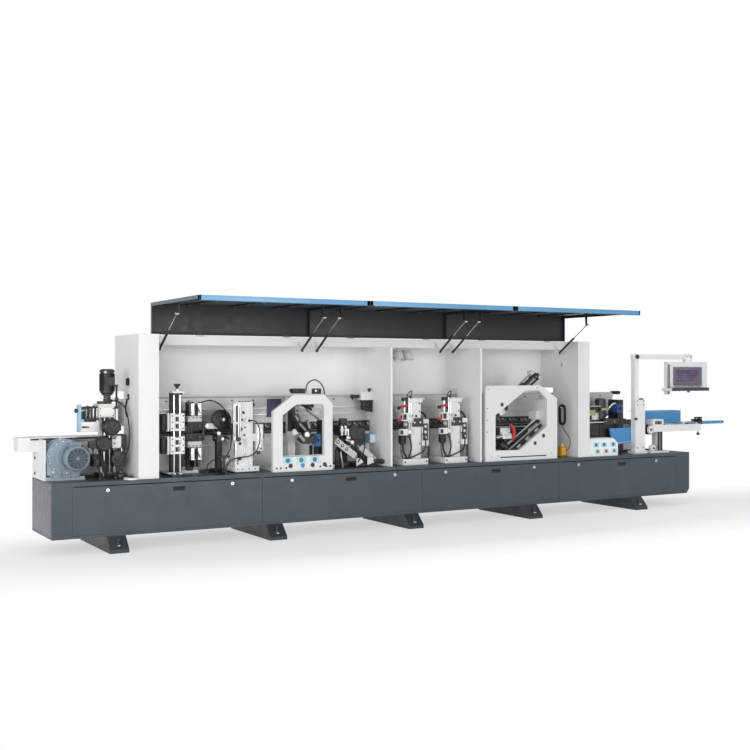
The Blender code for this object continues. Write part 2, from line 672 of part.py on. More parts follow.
def rounding_station():
    left, right = ROUND_FRAME
    floor = BASE_TOP + GAP
    outer = [(left, floor), (right, floor), (right, 1.216), (2.525, ROUND_TOP), (2.204, ROUND_TOP),
             (left, 1.154)]
    window = [(2.095, 0.733), (2.523, 0.733), (2.523, 1.19), (2.50, 1.214), (2.234, 1.214), (2.095, 1.117)]
    parts = [
        outline(outer, FRAME_FRONT, FRAME_FRONT + FRAME_THICK),
        box((left + 0.05, right - 0.05), (FRAME_FRONT, 0.40), (floor, floor + 0.03)),
        box((2.30, 2.38), (0.36, 0.40), (floor, 1.27)),
        box((right - 0.01, right + 0.012), (FRAME_FRONT + 0.03, 0.28), (1.09, 1.13)),
        box((right + 0.005, right + 0.05), (0.24, 0.28), (1.09, 1.13)),
        box((2.40, 2.47), (FRAME_FRONT + 0.03, 0.28), (1.26, 1.296)),
        box((2.425, 2.465), (0.23, 0.28), (1.26, 1.33)),
    ]
    cut = outline(window, FRAME_FRONT - 0.02, FRAME_FRONT + FRAME_THICK + 0.02)
    piece("rounding_frame", "white_paint", parts, [cut])
    pivot = Vector((2.34, 0.30, 1.23))
    tool = (2.40, 0.905)
    arm = [
        rod((pivot.x, 0.20, pivot.z), (pivot.x, 0.36 - GAP, pivot.z), 0.02, 16),
        outline([(2.315, 1.24), (2.33, 1.265), (2.355, 1.26), (2.37, 1.235), (2.43, 0.90), (2.37, 0.89)],
                0.24, 0.27),
        rod((tool[0], 0.14, tool[1]), (tool[0], 0.25, tool[1]), 0.045, 24),
        rod((tool[0], 0.12, tool[1]), (tool[0], 0.15, tool[1]), 0.075, 24),
    ]
    piece("rounding_arm", "dark_metal", arm, origin=pivot, smooth=True)


def profile_scraper():
    floor = BASE_TOP + GAP
    parts = [
        box((2.70, 3.12), (0.28, 0.40), (floor, floor + 0.04)),
        box((2.86, 2.93), (0.33, 0.38), (floor, 1.06)),
        rod((2.94, 0.15, 0.90), (2.94, 0.20, 0.90), 0.085, 28),
        rod((2.94, 0.19, 0.90), (2.94, 0.335, 0.90), 0.04, 16),
        box((2.78, 2.89), (0.20, 0.34), (0.90, 1.00)),
        box((2.98, 3.08), (0.24, 0.345), (0.86, 0.96)),
        box((2.90, 3.10), (0.30, 0.345), (0.80, 0.92)),
        outline([(2.695, 0.835), (2.735, 0.885), (2.95, 0.725), (2.915, 0.675)], 0.16, 0.20),
        box((2.83, 2.89), (0.18, 0.34), (0.74, 0.78)),
        outline([(2.965, 0.765), (3.00, 0.81), (3.17, 0.67), (3.135, 0.625)], 0.16, 0.20),
        box((3.04, 3.10), (0.18, 0.32), (0.62, 0.74)),
    ]
    piece("profile_scraper", "dark_metal", parts)


def trim_column(name, left, right, top, base_left, base_right):
    floor = BASE_TOP + GAP
    y = 0.14
    parts = [
        box((base_left, base_right), (0.08, 0.40), (floor, floor + 0.06)),
        box((left, right), (y, y + 0.04), (floor + 0.02, top)),
        box((left + 0.02, right - 0.02), (y + 0.03, 0.36), (floor + 0.02, top - 0.10)),
        rod((left - 0.035, y - 0.01, 0.92), (left - 0.035, y - 0.01, top - 0.01), 0.010, 12),
        rod((left - 0.010, y - 0.01, 0.92), (left - 0.010, y - 0.01, top - 0.01), 0.008, 12),
        box((left - 0.055, right), (y - 0.035, y + 0.01), (0.90, 0.94)),
        box((left - 0.055, right), (y - 0.035, y + 0.01), (top - 0.04, top)),
        box((right + 0.02, right + 0.10), (y + 0.01, y + 0.08), (0.78, 1.04)),
        box((right - 0.01, right + 0.03), (y + 0.02, y + 0.06), (0.86, 0.92)),
        box((left - 0.13, left - 0.055), (y - 0.05, y + 0.02), (1.00, 1.12)),
        box((left - 0.06, left + 0.005), (y - 0.032, y + 0.012), (1.01, 1.10)),
        rod((left - 0.10, y + 0.01, 0.80), (left - 0.10, y + 0.01, 1.01), 0.03, 20),
    ]
    piece(name, "white_paint", parts)


TRIM_FRAME = (4.37, 5.30)
TRIM_TOP = 1.373
UPPER_RAIL = ((4.46, 0.97), (5.10, 1.48))
LOWER_RAIL = ((4.68, 0.655), (5.20, 1.005))
RAIL_PLANE = 0.20
RAIL_BAR = 0.012
RAIL_SPREAD = 0.03


def slanted_block(middle, along, across, half_length, half_width, near, far):
    corners = [middle + along * i * half_length + across * j * half_width
               for i, j in ((-1, -1), (1, -1), (1, 1), (-1, 1))]
    return outline([(spot.x, spot.z) for spot in corners], near, far)


def rail_line(ends):
    low = Vector((ends[0][0], 0.0, ends[0][1]))
    high = Vector((ends[1][0], 0.0, ends[1][1]))
    along = (high - low).normalized()
    return low, high, along, Vector((-along.z, 0.0, along.x))


def rail_bars(ends, radius, extra=0.0):
    low, high, along, across = rail_line(ends)
    plane = Y_AXIS * RAIL_PLANE
    return [rod(low + across * side * RAIL_SPREAD + plane - along * extra,
                high + across * side * RAIL_SPREAD + plane + along * extra, radius, 12) for side in (-1, 1)]


def end_trim_station():
    left, right = TRIM_FRAME
    floor = BASE_TOP + GAP
    outer = [(left, floor), (right, floor), (right, 1.233), (5.08, TRIM_TOP), (left, TRIM_TOP)]
    window = [(4.492, 0.704), (4.803, 0.701), (5.166, 0.94), (5.166, 1.227), (5.06, 1.322), (4.88, 1.322),
              (4.492, 1.072)]
    inner_left = left + 0.10
    inner_right = right - 0.11
    parts = [
        outline(outer, FRAME_FRONT, FRAME_FRONT + FRAME_THICK),
        box((left + 0.05, right - 0.05), (FRAME_FRONT, 0.40), (floor, floor + 0.03)),
        box((left + 0.04, inner_left), (0.06, 0.34), (floor, 1.30)),
        box((inner_right, right - 0.05), (0.06, 0.34), (floor, 1.22)),
        box((inner_left - 0.005, inner_left + 0.05), (0.17, 0.30), (0.93, 1.02)),
        box((inner_right - 0.06, inner_right + 0.005), (0.17, 0.30), (1.01, 1.10)),
        box((4.56, 4.68), (0.17, 0.30), (floor + 0.02, 0.70)),
    ]
    for ends in (UPPER_RAIL, LOWER_RAIL):
        low, high, along, across = rail_line(ends)
        parts += rail_bars(ends, RAIL_BAR)
        for spot in (low, high):
            parts.append(slanted_block(spot, along, across, 0.018, 0.05, RAIL_PLANE - 0.02,
                                       RAIL_PLANE + 0.04))
    cut = outline(window, FRAME_FRONT - 0.02, FRAME_FRONT + FRAME_THICK + 0.02)
    piece("end_trim_frame", "white_paint", parts, [cut])
    for name, ends, place, lift in (("end_trim_saw_upper", UPPER_RAIL, 0.26, -0.02),
                                    ("end_trim_saw_lower", LOWER_RAIL, 0.27, 0.116)):
        low, high, along, across = rail_line(ends)
        middle = low + (high - low) * place
        disc = middle + across * lift
        saw = [
            slanted_block(middle, along, across, 0.075, 0.058, RAIL_PLANE - 0.035, RAIL_PLANE + 0.035),
            slanted_block(disc, along, across, 0.061, 0.069, RAIL_PLANE - 0.058, RAIL_PLANE - 0.012),
            rod((disc.x, 0.10, disc.z), (disc.x, RAIL_PLANE - 0.03, disc.z), 0.05, 24),
        ]
        piece(name, "bright_steel", saw, rail_bars(ends, RAIL_BAR + 2 * GAP, 0.2))


# ---------------------------------------------------------------- infeed
def gauge_box():
    side = [(0.03, BASE_TOP + GAP), (0.185, BASE_TOP + GAP), (0.185, 0.79), (0.05, 0.79), (0.03, 0.77)]
    body = outline(side, RIGHT_POST[1] + 0.006, 6.15, "YZ")
    corner = outline([(6.08, 0.80), (6.16, 0.80), (6.16, 0.72)], 0.0, 0.30)
    piece("gauge_box", "white_paint", [body], [corner])


def glue_unit():
    floor = BASE_TOP + GAP
    parts = [
        box((5.80, 6.42), (0.26, 0.44), (floor, floor + 0.04)),
        box((5.84, 6.36), (0.27, 0.43), (0.62, 0.98)),
        box((5.80, 6.06), (0.24, 0.42), (0.95, 1.12), 0.01),
        rod((6.16, 0.33, 0.95), (6.16, 0.33, 1.20), 0.06, 20),
        box((6.34, 6.42), (0.24, 0.40), (0.62, 1.20)),
        box((6.12, 6.44), (0.22, 0.42), (0.93, 0.99)),
    ]
    piece("glue_unit", "dark_metal", parts)
    guard = outline([(6.22, 0.70), (6.60, 0.72), (6.61, 0.885), (6.18, 0.885)], 0.195, 0.215)
    lug = box((6.345, 6.415), (0.21, 0.24 - GAP), (0.74, 0.84))
    piece("glue_guard", "blue_paint", [guard, lug])


PENDANT_X = 6.51
PENDANT_Y = 0.16
ARM_Z = 1.685
ARM_HALF = 0.028
ARM_END = 7.39
NECK_X = 7.33


def pendant():
    floor = BASE_TOP + GAP
    half = 0.04
    y = PENDANT_Y
    post_parts = [
        box((6.49, 6.635), (y - 0.042, y - 0.03), (0.62, 1.20)),
        box((6.47, 6.655), (y - 0.06, y + 0.06), (floor, 0.63)),
        box((PENDANT_X - half + 0.02, PENDANT_X + half), (y - 0.031, y + 0.03), (0.62, ARM_Z - ARM_HALF)),
    ]
    piece("pendant_post", "white_paint", post_parts)
    swivel = Vector((PENDANT_X, y, ARM_Z))
    arm_parts = [
        box((PENDANT_X - 0.035, ARM_END), (y - ARM_HALF, y + ARM_HALF),
            (ARM_Z - ARM_HALF + GAP, ARM_Z + ARM_HALF), 0.004),
        rod((NECK_X, y, ARM_Z - 0.055), (NECK_X, y, ARM_Z), 0.05, 20),
    ]
    piece("pendant_arm", "white_paint", arm_parts, origin=swivel)
    neck = Vector((NECK_X, y, ARM_Z - 0.055 - GAP))
    case = [
        box((6.985, 7.59), (y - 0.07, y + 0.03), (1.30, neck.z), 0.01),
        box((6.93, 7.52), (y - 0.16, y), (1.295, 1.33)),
        box((6.955, 6.99), (y - 0.07, y - 0.01), (1.255, 1.605)),
    ]
    piece("pendant_box", "white_paint", case, origin=neck)


FENCE_Y = (0.28, 0.315)


def infeed():
    floor = BASE_TOP + GAP
    near, far = FENCE_Y
    fence = [
        box((6.70, FENCE_END), (near, far), (0.895, 0.93)),
        box((6.72, 6.75), (near + 0.01, TRACK_FRONT - GAP), (0.90, 0.93)),
        box((7.08, 7.11), (near + 0.01, TRACK_FRONT - GAP), (0.90, 0.93)),
        box((6.69, 7.38), (near + 0.03, near + 0.033), (0.90, 1.062)),
        box((6.69, 7.38), (near + 0.03, TRACK_FRONT - 0.01), (1.06, 1.063)),
    ]
    piece("infeed_fence", "blue_paint", fence)
    stand = [
        box((6.855, 6.94), (0.16, 0.24), (floor, 0.84)),
        box((6.70, 6.98), (0.09, 0.27), (floor, floor + 0.02)),
        box((6.735, 7.47), (0.08, 0.26), (0.835, 0.905)),
        box((6.745, 6.90), (0.10, 0.22), (0.90, 0.975)),
        rod((6.72, 0.11, 0.86), (6.72, 0.20, 0.86), 0.055, 24),
        box((6.715, 6.76), (0.14, 0.18), (0.85, 0.90)),
        box((7.36, 7.44), (0.255, 0.28 - GAP), (0.86, 0.93)),
        rod((6.743, 0.10, 0.652), (6.743, 0.14, 0.652), 0.036, 20),
    ]
    piece("tape_feeder", "white_paint", stand)


# ---------------------------------------------------------------- controls and cords
def main_switch():
    x = LEFT_POST[0] - GAP
    y, z = 0.30, 1.426
    knob = [
        rod((x, y, z), (x - 0.006, y, z), 0.036, 24),
        rod((x - 0.005, y, z), (x - 0.016, y, z), 0.026, 24),
        box((x - 0.022, x - 0.005), (y - 0.007, y + 0.007), (z - 0.03, z + 0.03)),
    ]
    piece("main_switch", "black_plastic", knob, origin=(x, y, z))


def smooth_route(spots, spacing):
    """Points along a smooth curve through the given spots, about one spacing apart."""
    spots = [Vector(spot) for spot in spots]
    padded = [spots[0] * 2 - spots[1], *spots, spots[-1] * 2 - spots[-2]]
    fine = [spots[0]]
    for before, start, end, after in zip(padded, padded[1:], padded[2:], padded[3:]):
        steps = max(2, math.ceil((end - start).length / spacing))
        for step in range(1, steps + 1):
            t = step / steps
            fine.append(0.5 * (2 * start + (end - before) * t
                               + (2 * before - 5 * start + 4 * end - after) * t ** 2
                               + (3 * start - before - 3 * end + after) * t ** 3))
    return fine


def cord(name, radius, spots, paint="black_plastic"):
    """A hanging tube whose first and last stretches run straight out of their glands."""
    curve = bpy.data.curves.new(name, "CURVE")
    curve.dimensions = "3D"
    curve.bevel_depth = radius
    curve.bevel_resolution = 2
    curve.use_fill_caps = True
    route = [Vector(spots[0]), *smooth_route(spots[1:-1], radius * 5), Vector(spots[-1])]
    path = curve.splines.new("POLY")
    path.points.add(len(route) - 1)
    for spot, place in zip(path.points, route):
        spot.co = (*place, 1.0)
    curve.materials.append(finish(paint))
    made = bpy.data.objects.new(name, curve)
    MACHINE.objects.link(made)
    made.parent = FRAME


def ring_outline(half_width, half_height, turns=9):
    """Half an upright oval with round ends, mirrored to a closed outline."""
    straight = half_height - half_width
    points = []
    for step in range(turns):
        angle = math.pi * step / (turns - 1)
        points.append((half_width * math.cos(angle), straight + half_width * math.sin(angle)))
    for step in range(turns):
        angle = math.pi + math.pi * step / (turns - 1)
        points.append((half_width * math.cos(angle), -straight + half_width * math.sin(angle)))
    return [(COIL_MIDDLE[0] + across, COIL_MIDDLE[1] + up) for across, up in points]


def spare_coil():
    near, far = COIL_X
    body = outline(ring_outline(*COIL_HALF), near, far, "YZ")
    hole = outline(ring_outline(COIL_HALF[0] - COIL_WIDTH, COIL_HALF[1] - COIL_WIDTH), near - 0.01,
                   far + 0.01, "YZ")
    piece("spare_coil", "black_plastic", [body], [hole])


def into_gland(number):
    """The straight last stretch of a cable, down into its gland on top of the base."""
    x, y = GLANDS[number]
    top = BASE_TOP + GLAND_HEIGHT + CORD_GAP
    return [(x, y, top + 0.035), (x, y, top + 0.016), (x, y, top)]


SUPPLY_BOX = ((5.49, 5.565), (0.20, 0.33), 0.71)


def supply_box():
    across, deep, top = SUPPLY_BOX
    piece("supply_box", "yellow_paint", [box(across, deep, (BASE_TOP + GAP, top), 0.006)])


def cords():
    x, y = UPRIGHT_MOTOR
    cord("cable_upright_motor", CABLE_RADIUS, [
        (x + 0.045 + CORD_GAP, y, 1.262), (x + 0.064, y, 1.262), (x + 0.082, y, 1.261), (0.639, 0.262, 1.253),
        (0.674, 0.25, 1.223), (0.692, 0.232, 1.176), (0.70, 0.216, 1.132), (0.704, 0.199, 1.087),
        (0.704, 0.18, 1.036), (0.703, 0.167, 0.99), (0.70, 0.155, 0.944), (0.693, 0.145, 0.898),
        (0.679, 0.134, 0.847), (0.661, 0.126, 0.803), (0.638, 0.125, 0.761), (0.607, 0.13, 0.718),
        (0.584, 0.136, 0.676), *into_gland(0)])
    cord("cable_buffing_motor", CABLE_RADIUS, [
        (0.375, 0.13, 0.856 - CORD_GAP), (0.375, 0.13, 0.837), (0.375, 0.13, 0.819), (0.376, 0.13, 0.795),
        (0.386, 0.126, 0.754), (0.41, 0.127, 0.712), (0.432, 0.134, 0.676), *into_gland(1)])
    cord("cable_buffing_disc", CABLE_RADIUS, [
        (1.36 + CORD_GAP, 0.355, 1.225), (1.379, 0.355, 1.225), (1.397, 0.355, 1.226), (1.419, 0.35, 1.233),
        (1.459, 0.328, 1.248), (1.497, 0.292, 1.257), (1.531, 0.261, 1.244), (1.562, 0.235, 1.219),
        (1.59, 0.214, 1.186), (1.617, 0.196, 1.143), (1.631, 0.186, 1.098), (1.64, 0.179, 1.051),
        (1.645, 0.174, 1.004), (1.649, 0.171, 0.95), (1.648, 0.17, 0.902), (1.644, 0.171, 0.854),
        (1.632, 0.175, 0.802), (1.612, 0.185, 0.76), (1.576, 0.201, 0.734), (1.532, 0.219, 0.726),
        (1.483, 0.233, 0.709), (1.45, 0.239, 0.676), *into_gland(2)])
    cord("cable_scraper", CABLE_RADIUS, [
        (1.80 + CORD_GAP, 0.10, 1.072), (1.819, 0.10, 1.072), (1.837, 0.10, 1.071), (1.858, 0.099, 1.061),
        (1.885, 0.097, 1.022), (1.894, 0.094, 0.975), (1.895, 0.091, 0.921), (1.89, 0.089, 0.873),
        (1.876, 0.087, 0.827), (1.847, 0.086, 0.782), (1.806, 0.086, 0.757), (1.76, 0.088, 0.745),
        (1.712, 0.094, 0.742), (1.666, 0.104, 0.734), (1.619, 0.119, 0.712), (1.589, 0.128, 0.676),
        *into_gland(3)])
    cord("hose_rounding", HOSE_RADIUS, [
        (2.445, 0.255, 1.33 + CORD_GAP), (2.445, 0.255, 1.348), (2.446, 0.255, 1.366), (2.454, 0.256, 1.389),
        (2.487, 0.258, 1.423), (2.537, 0.26, 1.439), (2.582, 0.26, 1.423), (2.619, 0.26, 1.385),
        (2.637, 0.26, 1.34), (2.641, 0.26, 1.292), (2.64, 0.26, 1.238), (2.64, 0.26, 1.19),
        (2.64, 0.26, 1.166), (2.64, 0.26, 1.148), (2.64, 0.26, 1.13 + CORD_GAP)])
    x = sum(COIL_X) / 2
    low = COIL_MIDDLE[1] - COIL_HALF[1]
    cord("coil_lead", WIRE_RADIUS, [
        (x, COIL_MIDDLE[0], low - CORD_GAP), (x, COIL_MIDDLE[0], low - 0.012), (x, 0.225, 0.87),
        (x, 0.15, 0.80), (x, 0.135, 0.74), (x - 0.012, 0.155, 0.68),
        (x - 0.02, SUPPLY_BOX[1][0] - 0.012, 0.665), (x - 0.02, SUPPLY_BOX[1][0] - CORD_GAP, 0.665)],
         "white_paint")


# ---------------------------------------------------------------- the whole machine
base_bed()
for number in range(DOOR_COUNT):
    base_door(number)
post("left_post", LEFT_POST)
post("right_post", RIGHT_POST, coil_hanger())
back_wall()
hood_roof()
for number in range(LID_COUNT):
    lid(number)
struts()
conveyor_track()
pressure_beam()
drive_unit()
buffing_unit()
upright_motor()
polishing_station()
disc_station()
scraper_plate()
rounding_station()
profile_scraper()
trim_column("fine_trim_1", 3.55, 3.66, 1.246, 3.42, 3.71)
trim_column("fine_trim_2", 4.02, 4.13, 1.246, 3.91, 4.18)
end_trim_station()
gauge_box()
glue_unit()
pendant()
infeed()
main_switch()
spare_coil()
supply_box()
cords()
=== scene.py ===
import math

import bmesh
import bpy
from mathutils import Matrix, Vector


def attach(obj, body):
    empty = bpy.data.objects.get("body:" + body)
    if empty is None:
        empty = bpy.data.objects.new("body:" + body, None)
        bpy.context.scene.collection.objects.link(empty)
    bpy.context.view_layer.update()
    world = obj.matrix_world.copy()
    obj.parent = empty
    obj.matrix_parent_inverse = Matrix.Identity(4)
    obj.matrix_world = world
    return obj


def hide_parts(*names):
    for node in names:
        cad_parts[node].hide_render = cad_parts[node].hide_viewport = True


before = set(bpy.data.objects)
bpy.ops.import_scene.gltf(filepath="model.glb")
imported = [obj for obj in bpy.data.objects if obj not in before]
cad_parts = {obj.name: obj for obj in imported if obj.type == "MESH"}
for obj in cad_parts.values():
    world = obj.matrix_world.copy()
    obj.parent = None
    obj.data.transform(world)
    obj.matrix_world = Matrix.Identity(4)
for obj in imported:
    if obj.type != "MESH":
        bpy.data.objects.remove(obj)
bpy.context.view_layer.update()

# The part's own drawing, in millimetres, puts X 0 at the base's left end and Y 0 at its front plane.
# PLACE takes those coordinates into the frame, in metres.
MM = 0.001
SHIFT = Vector((-3.945, 0.0615, 0.0))
PLACE = Matrix.Translation(SHIFT) @ Matrix.Scale(MM, 4)
BODY = "machine"
FLOOR_TOP = 597              # top of the base
HOOD_SPAN = (925, 5565)      # X between the two posts
BEAM_SPAN = (800, 6440)      # X of the pressure beam
FRAME_FACE = 30              # Y of the front of the rounding and end trimming frames
AXES = {"X": Vector((1, 0, 0)), "Y": Vector((0, 1, 0)), "Z": Vector((0, 0, 1))}
BEVEL = 3                    # of a box that isn't given its own
SMALL_SHARE = 0.3            # the largest bevel as a share of the piece's smallest side


# ---------------------------------------------------------------- camera
scene = bpy.context.scene
lens = bpy.data.cameras.new("camera")
lens.sensor_width = 36.0
lens.lens = 53.02
lens.shift_y = -0.0044
lens.clip_end = 200.0
camera = bpy.data.objects.new("camera", lens)
camera.location = Vector((-2.2172, -9.1615, 1.516)) + SHIFT
camera.rotation_euler = (math.radians(90.0), 0.0, math.radians(-29.91))
scene.collection.objects.link(camera)
scene.camera = camera
scene.view_settings.view_transform = "Standard"


# ---------------------------------------------------------------- materials
class Nodes:
    """A material under construction, with its object-space noise ready to hand."""

    def __init__(self, name):
        self.material = bpy.data.materials.new(name)
        self.material.use_nodes = True
        self.tree = self.material.node_tree
        self.shader = self.tree.nodes["Principled BSDF"]
        self.place = self.new("ShaderNodeTexCoord").outputs["Object"]

    def new(self, kind, **values):
        node = self.tree.nodes.new(kind)
        for key, value in values.items():
            setattr(node, key, value)
        return node

    def link(self, source, target):
        self.tree.links.new(source, target)

    def noise(self, scale, detail=3.0, roughness=0.55, stretch=None):
        node = self.new("ShaderNodeTexNoise")
        node.inputs["Scale"].default_value = scale
        node.inputs["Detail"].default_value = detail
        node.inputs["Roughness"].default_value = roughness
        source = self.place
        if stretch:
            mapping = self.new("ShaderNodeMapping")
            mapping.inputs["Scale"].default_value = stretch
            self.link(source, mapping.inputs["Vector"])
            source = mapping.outputs["Vector"]
        self.link(source, node.inputs["Vector"])
        return node.outputs["Fac"]

    def ramp(self, source, stops):
        node = self.new("ShaderNodeValToRGB")
        band = node.color_ramp
        while len(band.elements) < len(stops):
            band.elements.new(0.5)
        for element, (place, colour) in zip(band.elements, stops):
            element.position = place
            element.color = (*colour, 1.0)
        self.link(source, node.inputs["Fac"])
        return node.outputs["Color"]

    def span(self, source, low, high, start=0.3, stop=0.7):
        node = self.new("ShaderNodeMapRange")
        for key, value in (("From Min", start), ("From Max", stop), ("To Min", low), ("To Max", high)):
            node.inputs[key].default_value = value
        self.link(source, node.inputs["Value"])
        return node.outputs["Result"]

    def bump(self, source, strength, distance):
        node = self.new("ShaderNodeBump")
        node.inputs["Strength"].default_value = strength
        node.inputs["Distance"].default_value = distance
        self.link(source, node.inputs["Height"])
        self.link(node.outputs["Normal"], self.shader.inputs["Normal"])

    def set(self, **values):
        for key, value in values.items():
            self.shader.inputs[key.replace("_", " ")].default_value = value


def shade(colour, factor):
    return tuple(min(1.0, channel * factor) for channel in colour)


def coloured(made, source, colour, spread):
    """Vary the base colour by a share either way, as the source runs from low to high."""
    tone = made.ramp(source, [(0.3, shade(colour, 1 - spread)), (0.7, shade(colour, 1 + spread))])
    made.link(tone, made.shader.inputs["Base Color"])


def painted(name, colour, roughness, spread=0.08, metallic=0.0, coat=0.0):
    """Powder coat or enamel: fine orange peel, slow tone drift, and a film of shop dust."""
    made = Nodes(name)
    made.set(Metallic=metallic, Coat_Weight=coat)
    coloured(made, made.noise(1.7, 5.0), colour, spread)
    rough = made.span(made.noise(14.0, 6.0), roughness - 0.07, roughness + 0.1)
    made.link(rough, made.shader.inputs["Roughness"])
    made.bump(made.noise(900.0, 2.0), 0.25, 0.0004)
    return made.material


def metal(name, colour, roughness, stretch=(1.0, 1.0, 1.0), scale=260.0, relief=0.15, spread=0.12):
    """Machined, drawn or brushed metal: stretched grain in tone, roughness and relief."""
    made = Nodes(name)
    made.set(Metallic=1.0)
    grain = made.noise(scale, 4.0, 0.6, stretch)
    coloured(made, grain, colour, spread)
    made.link(made.span(grain, roughness - 0.06, roughness + 0.14), made.shader.inputs["Roughness"])
    made.bump(grain, relief, 0.0003)
    return made.material


def plastic(name, colour, roughness, grain=1500.0, relief=0.3, spread=0.1):
    """Moulded plastic or rubber: fine pebble grain and faint rubbed patches."""
    made = Nodes(name)
    coloured(made, made.noise(9.0, 4.0), colour, spread)
    rough = made.span(made.noise(45.0, 5.0), roughness - 0.08, roughness + 0.1)
    made.link(rough, made.shader.inputs["Roughness"])
    made.bump(made.noise(grain, 2.0), relief, 0.0003)
    return made.material


def base_paint():
    """Base paint with slow drift and dust, its feet darker below the bed's underside: painted shade near the
    floor, partly scuffing.
    """
    made = Nodes("base_paint")
    made.set(Coat_Weight=0.08)
    low, high = (0.040, 0.055, 0.068), (0.047, 0.064, 0.077)
    tone = made.ramp(made.noise(0.7, 4.0, 0.45), [(0.3, low), (0.7, high)])
    patches = made.span(made.noise(5.0, 4.0), 0.0, 1.0, 0.42, 0.75)
    dust = made.ramp(patches, [(0.0, (0, 0, 0)), (1.0, (0.03, 0.03, 0.03))])
    mix = made.new("ShaderNodeMix", data_type="RGBA", blend_type="ADD")
    mix.inputs["Factor"].default_value = 0.35
    made.link(tone, mix.inputs[6])
    made.link(dust, mix.inputs[7])
    # Halving the colour below Z 0.126–0.134 darkens the feet: painted shade near the floor, partly scuffing.
    height = made.new("ShaderNodeSeparateXYZ")
    made.link(made.place, height.inputs[0])
    painted_floor_shade = made.new("ShaderNodeMix", data_type="RGBA", blend_type="MULTIPLY")
    painted_floor_shade.inputs["Factor"].default_value = 1.0
    made.link(mix.outputs[2], painted_floor_shade.inputs[6])
    made.link(made.span(height.outputs["Z"], 0.5, 1.0, 0.126, 0.134), painted_floor_shade.inputs[7])
    made.link(painted_floor_shade.outputs[2], made.shader.inputs["Base Color"])
    made.link(made.span(made.noise(11.0, 6.0), 0.34, 0.52), made.shader.inputs["Roughness"])
    made.bump(made.noise(700.0, 2.0), 0.3, 0.0004)
    return made.material


def glowing(name, colour, strength, roughness=0.2):
    """A lit screen: banded panel tones behind smooth glass."""
    made = Nodes(name)
    panes = made.new("ShaderNodeTexBrick")
    panes.inputs["Scale"].default_value = 9.0
    panes.inputs["Color1"].default_value = (*colour, 1.0)
    panes.inputs["Color2"].default_value = (*shade(colour, 1.8), 1.0)
    panes.inputs["Mortar"].default_value = (*shade(colour, 0.4), 1.0)
    mapping = made.new("ShaderNodeMapping")
    mapping.inputs["Rotation"].default_value = (math.radians(90), 0, 0)
    made.link(made.place, mapping.inputs["Vector"])
    made.link(mapping.outputs["Vector"], panes.inputs["Vector"])
    made.link(panes.outputs["Color"], made.shader.inputs["Base Color"])
    made.link(panes.outputs["Color"], made.shader.inputs["Emission Color"])
    made.set(Emission_Strength=strength, Roughness=roughness)
    return made.material


